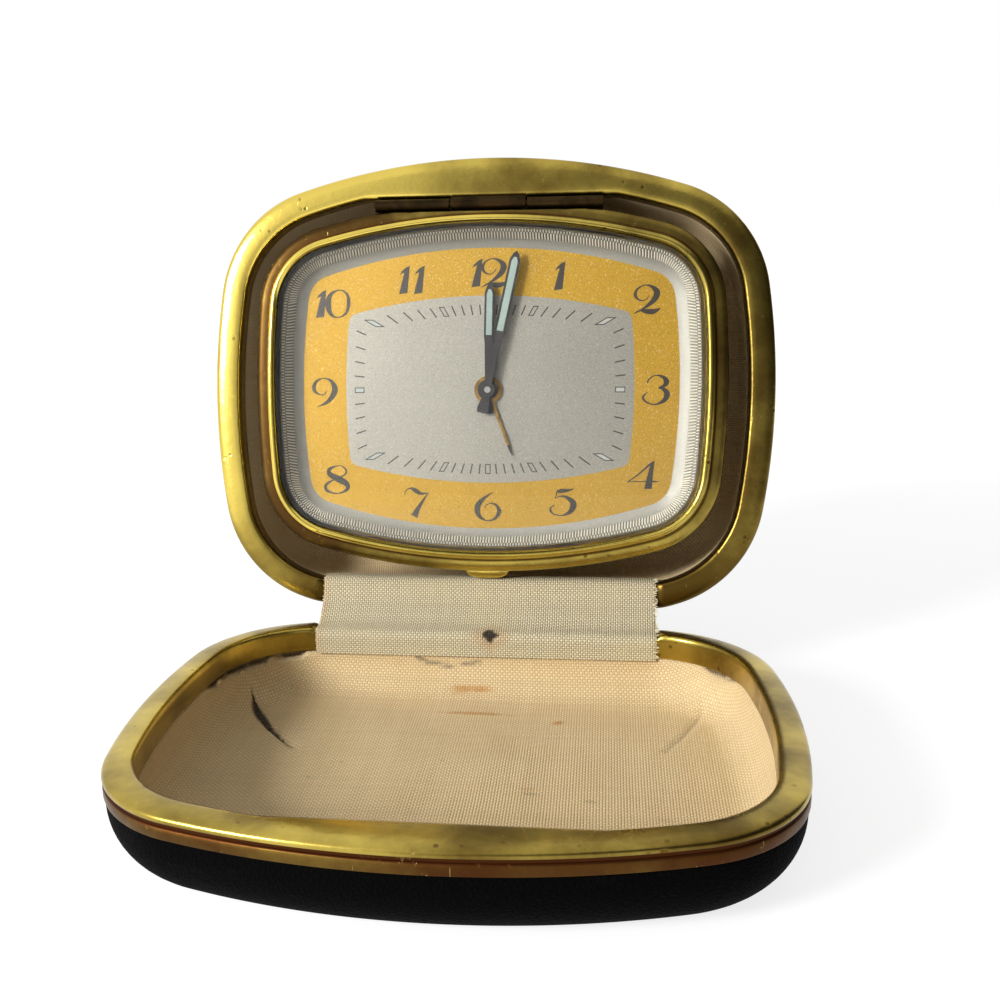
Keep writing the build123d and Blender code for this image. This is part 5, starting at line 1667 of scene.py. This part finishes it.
class CLOCK_OT_dial(ClockPiece, bpy.types.Operator):
    """Makes the two tone dial with its minute marks and numbers"""

    bl_idname = "clock.dial"
    bl_label = "Dial"

    def make(self, sizes):
        self.face()
        self.minute_marks(sizes)
        self.five_minute_marks(sizes)
        self.numbers(sizes)

    def face(self):
        outer = face_ring(glass_line, plate_inset, dial_top - plate_step)
        gold = [(x, y, dial_top) for x, y, _, _ in gold_line]
        silver = [(x, y, dial_top) for x, y, _, _ in silver_line]
        hub = []
        for x, y, _ in silver:
            out = math.hypot(x, y)
            hub.append((x / out * hub_hole, y / out * hub_hole, dial_top))
        low_hub, low = (
            [(x, y, dial_top - plate_bottom) for x, y, _ in ring] for ring in (hub, outer)
        )
        edge = [(x, y, dial_top - plate_step) for x, y, _ in gold]
        rings = [low_hub, hub, silver, gold, edge, outer, low]
        slots = [slot for slot in (0, 0, 1, 1, 0, 0, 0) for _ in gold]
        piece = make_piece(
            "two_tone_dial", flat(rings), loft(rings, close_loop=True), clock_seat,
            ["dial_silver", "dial_gold"], sharp=30, slots=slots,
        )
        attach(piece, "clock_head")
        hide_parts("dial")

    def mark_ends(self, minute):
        angle = math.radians(90 - 6 * minute)
        x, y = math.cos(angle), math.sin(angle)
        far, near = (Vector(outline_hit(silver_line, inset, x, y)) for inset in mark_insets)
        return near, far

    def minute_marks(self, sizes):
        places = []
        turn_in = clock_seat.to_3x3()
        for minute in range(60):
            if minute % 5 == 0:
                continue
            near, far = self.mark_ends(minute)
            along = turn_in @ Vector((*(far - near), 0))
            turn = frame_turn(along, turn_in @ Vector((0, 0, 1)))
            point = clock_seat @ Vector((*((near + far) / 2), dial_top + print_lift / 2))
            places.append((point, turn, ((far - near).length * MM, 1, 1)))
        shape = ridge_shape("minute_mark", ((-0.5, -0.5), (0.5, -0.5), (0.5, 0.5), (-0.5, 0.5)))
        size = (1, sizes.tick_width, print_lift * MM)
        piece = place_copies("minute_marks", places, shape, "ink", size)
        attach(piece, "clock_head")

    def five_minute_marks(self, sizes):
        points, faces, slots = [], [], []
        finishes = ["ink", "lume_white", "lume_grey"]
        line = sizes.tick_width / MM * 0.75
        for hour in range(12):
            near, far = self.mark_ends(hour * 5)
            along = (far - near).normalized()
            beside = hour in (3, 9)
            across = Vector((0, 1)) if beside else Vector((1, 0))
            half = five_minute_halves[hour in (2, 4, 8, 10)]
            edge = line / abs(along.x if beside else along.y)
            if along.cross(across) > 0:
                across = -across

            def corners(back):
                low, high = near + along * back, far - along * back
                side = across * (half - back)
                return low + side, low - side, high - side, high + side

            rim, well = corners(0.0), corners(edge)
            base = len(points)
            points += [(*p, dial_top + print_lift) for p in rim + well]
            for i in range(4):
                j = (i + 1) % 4
                faces.append((base + j, base + i, base + 4 + i, base + 4 + j))
                slots.append(0)
            fill = five_minute_fill.get(hour)
            if fill:
                faces.append(tuple(base + 4 + i for i in (3, 2, 1, 0)))
                slots.append(finishes.index(fill))
        piece = make_piece(
            "five_minute_marks", points, faces, clock_seat, finishes, slots=slots, closed=False
        )
        self.face_out(piece)
        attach(piece, "clock_head")

    def numbers(self, sizes):
        points, faces = [], []
        for number, (cx, cy) in numeral_centres.items():
            text = str(number)
            height = sizes.numeral_height / MM * (tall_share if number in tall_numerals else 1.0)
            starts = two_digit_steps.get(number, (0.0,))
            width = two_digit_widths.get(number) or self.digit_width(text)
            for digit, start in zip(text, starts):

                def place(x, y, start=start):
                    across = cx + (x + start - width / 2) * height
                    return across, cy + (y - 0.5) * height, dial_top + print_lift

                outlines, strokes, loops = digits[digit]
                for outline in outlines:
                    base = len(points)
                    points += [place(x, y) for x, y in outline]
                    faces.append(tuple(range(base, base + len(outline))))
                for run, closed in [(r, False) for r in strokes] + [(r, True) for r in loops]:
                    knots = [(x, y, wide * pen) for x, y, wide in run]
                    stroke(knots, points, faces, place, closed)
        piece = make_piece("dial_numbers", points, faces, clock_seat, ["ink"], closed=False)
        self.face_out(piece)
        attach(piece, "clock_head")

    def digit_width(self, digit):
        outlines, strokes, loops = digits[digit]
        return max(p[0] for run in outlines + strokes + loops for p in run)

    def face_out(self, piece):
        """Turns printed faces that look into the dial."""
        out = clock_seat.to_3x3() @ Vector((0, 0, 1))
        work = bmesh.new()
        work.from_mesh(piece.data)
        work.normal_update()
        bmesh.ops.reverse_faces(work, faces=[f for f in work.faces if f.normal.dot(out) < 0])
        work.to_mesh(piece.data)
        work.free()


# Hands

def turned(outline, clockwise):
    """An outline of (across, along) points turned clockwise from twelve."""
    c, s = math.cos(math.radians(clockwise)), math.sin(math.radians(clockwise))
    return [(x * c + y * s, -x * s + y * c) for x, y in outline]


def disc(radius, count=36):
    return [
        (radius * math.cos(2 * math.pi * i / count), radius * math.sin(2 * math.pi * i / count))
        for i in range(count)
    ]


# The filled hands: body, degrees clockwise from twelve, length, half width, underside, radius of
# the boss, then where the filling starts and its half width
filled_hands = {
    "minute": ("minute_work", 12.0, 22.0, 0.86, 0.35, 1.15, 9.4, 0.5),
    "hour": ("hour_work", 1.0, 16.7, 0.78, -0.2, 1.6, 8.6, 0.46),
}
hand_thickness = 0.25
hand_tail = ((0.5, -1.0), (1.0, -3.0), (0.9, -3.75), (-0.9, -3.75), (-1.0, -3.0), (-0.5, -1.0))
alarm_clockwise = 159.5


class CLOCK_OT_hands(ClockPiece, bpy.types.Operator):
    """Makes the hour, minute and alarm hands"""

    bl_idname = "clock.hands"
    bl_label = "Hands"

    def make(self, sizes):
        for name, settings in filled_hands.items():
            self.filled_hand(name, *settings)
        self.alarm()

    def stack(self, plates):
        """Points, faces and slots of plates (outline, bottom, top, slot)."""
        points, faces, slots = [], [], []
        for outline, bottom, top, slot in plates:
            before = len(faces)
            plate(outline, bottom, top, points, faces)
            slots += [slot] * (len(faces) - before)
        return points, faces, slots

    def filled_hand(self, name, body, clockwise, length, half, low, boss, start, inner):
        high = low + hand_thickness
        blade = [
            (-0.45, 1.0), (0.45, 1.0), (half * 0.82, start - 1.2), (half, start - 0.2),
            (half, length - 1.5), (half * 0.55, length - 0.5), (0.0, length),
            (-half * 0.55, length - 0.5), (-half, length - 1.5), (-half, start - 0.2),
            (-half * 0.82, start - 1.2),
        ]
        lume = [
            (-inner, start), (inner, start), (inner, length - 1.7), (inner * 0.4, length - 1.0),
            (-inner * 0.4, length - 1.0), (-inner, length - 1.7),
        ]
        plates = (
            (blade, low, high, 0), (hand_tail, low, high, 0), (disc(boss), low, high, 0),
            (lume, low + 0.2, low + 0.275, 1),
        )
        points, faces, slots = self.stack(
            (turned(outline, clockwise), *rest) for outline, *rest in plates
        )
        piece = make_piece(
            f"{name}_hand_blade", points, faces, clock_seat, ["hand_dark", "lume"], slots=slots
        )
        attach(piece, body)
        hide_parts(f"{name}_hand")

    def alarm(self):
        stem = turned([(-0.26, 1.8), (0.26, 1.8), (0.2, 9.4), (-0.2, 9.4)], alarm_clockwise)
        tip = turned([(-0.2, 9.4), (0.2, 9.4), (0.0, 11.4)], alarm_clockwise)
        points, faces, slots = self.stack((
            (disc(2.2), -0.75, -0.55, 0), (disc(2.0), -0.55, -0.5, 0),
            (stem, -0.75, -0.5, 0), (tip, -0.75, -0.5, 1),
        ))
        piece = make_piece(
            "alarm_hand_pointer", points, faces, clock_seat, ["alarm_hand_brass", "hand_dark"],
            slots=slots,
        )
        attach(piece, "alarm_dial_work")
        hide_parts("alarm_hand")


# Metal parts that keep their solids

# Hinge parts that take dark_brass: tarnish darkened further as painted shade, so they read as the shadowed
# gap at the top of the clock
aged_and_shaded_hinge = ("clock_hinge_leaf", "clock_hinge_bracket", "clock_hinge_pin")
grip_width, grip_height, grip_sink = 0.3, 0.26, 0.14
grip_length_share = 0.8


class CLOCK_OT_metalwork(ClockPiece, bpy.types.Operator):
    """Gives the solids that stay their finishes, and the knobs their grips"""

    bl_idname = "clock.metalwork"
    bl_label = "Metalwork"

    def make(self, sizes):
        for name, node in nodes.items():
            for index, material in enumerate(node.data.materials):
                slot = "dark_brass" if name in aged_and_shaded_hinge else material.name
                node.data.materials[index] = finish_named(slot)
        self.grip("time_setting_knob", "minute_work", sizes.grips)
        self.grip("alarm_setting_knob", "alarm_setter", sizes.grips)

    def grip(self, node, body, count):
        low, high = box_on_clock(node)
        middle, radius = (low + high) / 2, (high.x - low.x) / 2
        size = ((high.z - low.z) * grip_length_share * MM, grip_width * MM, grip_height * MM)
        places = []
        turn_in = clock_seat.to_3x3()
        for i in range(count):
            angle = 2 * math.pi * i / count
            out = Vector((math.cos(angle), math.sin(angle), 0))
            point = middle + out * (radius - grip_sink)
            turn = frame_turn(turn_in @ Vector((0, 0, 1)), turn_in @ out)
            places.append((clock_seat @ point, turn, size))
        shape = ridge_shape("grip", ((-0.5, -0.5), (0.5, -0.5), (0.25, 0.4), (-0.25, 0.4)))
        piece = place_copies(f"{node}_grip", places, shape, "knob_brass")
        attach(piece, body)


# Stage

camera_place = (0.018714, -0.151556, 0.080617)
camera_pitch, camera_yaw, camera_roll = 0.2996, -0.133, -0.0239
camera_lens = 43.93
camera_shift = (0.0528, 0.0667)
floor_half = 3.0
square = ((-1, -1), (1, -1), (1, 1), (-1, 1))
lamp_place, lamp_target = (-0.594, -0.574, 0.354), (0, 0.02, 0.03)
lamp_size, lamp_power = 0.22, 8.6
# Dark cards: centre, facing, size, and where they fade in across and up
dark_cards = {
    "right_dark_card": (
        (0.36, -0.10, 0.25), (-1, 0.15, 0), (0.8, 0.50), ((0.0, 0.1), (0.0, 0.05))
    ),
    "front_dark_card": (
        (0.20, -0.62, 0.30), (-0.12, 1, 0), (1.5, 0.60), ((-0.45, 0.30), (0.0, 0.30))
    ),
}


class CLOCK_OT_stage(ClockPiece, bpy.types.Operator):
    """Sets the floor, the soft light and the camera"""

    bl_idname = "clock.stage"
    bl_label = "Stage"

    def make(self, sizes):
        self.floor()
        for name, settings in dark_cards.items():
            self.card(name, *settings)
        self.world()
        self.softbox()
        self.camera()
        bpy.context.scene.view_settings.view_transform = "Standard"

    def sheet(self, name, corners, finish):
        mesh = bpy.data.meshes.new(name)
        mesh.from_pydata(corners, [], [(0, 1, 2, 3)])
        mesh.materials.append(finish)
        return link(name, mesh)

    def floor(self):
        """A white floor that looks brighter than the light it gives back."""
        finish, board, shader = new_finish("pale_floor")
        board.tree.nodes.remove(shader)
        plain, lit = (
            board.put("ShaderNodeBsdfDiffuse", {"Color": (grey, grey, grey)}).outputs[0]
            for grey in (0.82, 0.38)
        )
        away = board.put("ShaderNodeVectorMath", {0: board.here()}, operation="LENGTH")
        strength = board.step(away.outputs["Value"], 0.12, 0.45, 0.80, 0.95)
        glow = board.put("ShaderNodeEmission", {"Color": (1.0, 1.0, 1.0), "Strength": strength})
        both = board.put("ShaderNodeAddShader", {0: lit, 1: glow.outputs[0]}).outputs[0]
        board.show(board.put("ShaderNodeMixShader", {0: self.seen(board), 1: plain, 2: both}))
        corners = [(a * floor_half, b * floor_half, 0) for a, b in square]
        self.sheet("pale_floor", corners, finish)

    def seen(self, board):
        """1 where the eye, a reflection or the glass looks, 0 for plain light."""
        path = board.put("ShaderNodeLightPath").outputs
        seen = board.math("MAXIMUM", path["Is Camera Ray"], path["Is Glossy Ray"])
        return board.math("MAXIMUM", seen, path["Is Transmission Ray"])

    def card(self, name, centre, facing, size, fades):
        """A dark card out of the picture, clearer towards its left and its foot."""
        facing = Vector(facing).normalized()
        across = Vector((0, 0, 1)).cross(facing).normalized()
        up = facing.cross(across)
        corners = [
            Vector(centre) + across * a * size[0] / 2 + up * b * size[1] / 2 for a, b in square
        ]
        finish, board, shader = new_finish(name, Roughness=0.9, Base_Color=(0.03, 0.03, 0.03))
        place = board.put("ShaderNodeSeparateXYZ", {0: board.here()}).outputs
        solid = board.math(
            "MULTIPLY", board.step(place["X"], *fades[0]), board.step(place["Z"], *fades[1])
        )
        clear = board.put("ShaderNodeBsdfTransparent").outputs[0]
        board.show(board.put("ShaderNodeMixShader", {0: solid, 1: clear, 2: shader.outputs[0]}))
        card = self.sheet(name, corners, finish)
        card.visible_camera = False

    def world(self):
        world = bpy.data.worlds.new("studio")
        world.use_nodes = True
        board = Board(world.node_tree)
        strength = board.math("MULTIPLY_ADD", self.seen(board), 0.53, 0.47)
        back = world.node_tree.nodes["Background"]
        board.send(back, {"Color": (1.0, 1.0, 1.0), "Strength": strength})
        bpy.context.scene.world = world

    def softbox(self):
        light = bpy.data.lights.new("left_softbox", "AREA")
        light.energy, light.size = lamp_power, lamp_size
        lamp = link("left_softbox", light)
        lamp.location = lamp_place
        aim = Vector(lamp_target) - Vector(lamp_place)
        lamp.rotation_euler = aim.to_track_quat("-Z", "Y").to_euler()

    def camera(self):
        lens = bpy.data.cameras.new("photo_camera")
        lens.lens, lens.sensor_width = camera_lens, 36.0
        lens.shift_x, lens.shift_y = camera_shift
        lens.clip_start, lens.clip_end = 0.01, 20.0
        cp, sp = math.cos(camera_pitch), math.sin(camera_pitch)
        cy, sy = math.cos(camera_yaw), math.sin(camera_yaw)
        ahead = Vector((sy * cp, cy * cp, -sp))
        right = Vector((cy, -sy, 0))
        up = right.cross(ahead)
        cr, sr = math.cos(camera_roll), math.sin(camera_roll)
        across, over = cr * right + sr * up, -sr * right + cr * up
        turn = Matrix((across, over, -ahead)).transposed().to_4x4()
        camera = link("photo_camera", lens)
        camera.matrix_world = Matrix.Translation(camera_place) @ turn
        bpy.context.scene.camera = camera


STEPS = (
    CLOCK_OT_metalwork, CLOCK_OT_covers, CLOCK_OT_rims, CLOCK_OT_linings, CLOCK_OT_strap, CLOCK_OT_bezel,
    CLOCK_OT_pull_tab, CLOCK_OT_crystal, CLOCK_OT_reflector, CLOCK_OT_dial, CLOCK_OT_hands, CLOCK_OT_stage,
)


class CLOCK_PT_panel(bpy.types.Panel):
    """Lists the steps that dress the clock"""

    bl_idname = "CLOCK_PT_panel"
    bl_label = "Travel clock"
    bl_space_type = "VIEW_3D"
    bl_region_type = "UI"
    bl_category = "Travel clock"

    def draw(self, context):
        for step in STEPS:
            self.layout.operator(step.bl_idname)
        for group in (context.scene.clock_sizes, context.scene.clock_colours):
            box = self.layout.box()
            for key in group.__annotations__:
                box.prop(group, key)


CLASSES = (ClockColours, ClockSizes, *STEPS, CLOCK_PT_panel)


def register():
    for cls in CLASSES:
        bpy.utils.register_class(cls)
    bpy.types.Scene.clock_colours = PointerProperty(type=ClockColours)
    bpy.types.Scene.clock_sizes = PointerProperty(type=ClockSizes)


def unregister():
    del bpy.types.Scene.clock_sizes
    del bpy.types.Scene.clock_colours
    for cls in reversed(CLASSES):
        bpy.utils.unregister_class(cls)


def main():
    register()
    for step in STEPS:
        group, name = step.bl_idname.split(".")
        getattr(getattr(bpy.ops, group), name)()


if __name__ == "__main__":
    main()
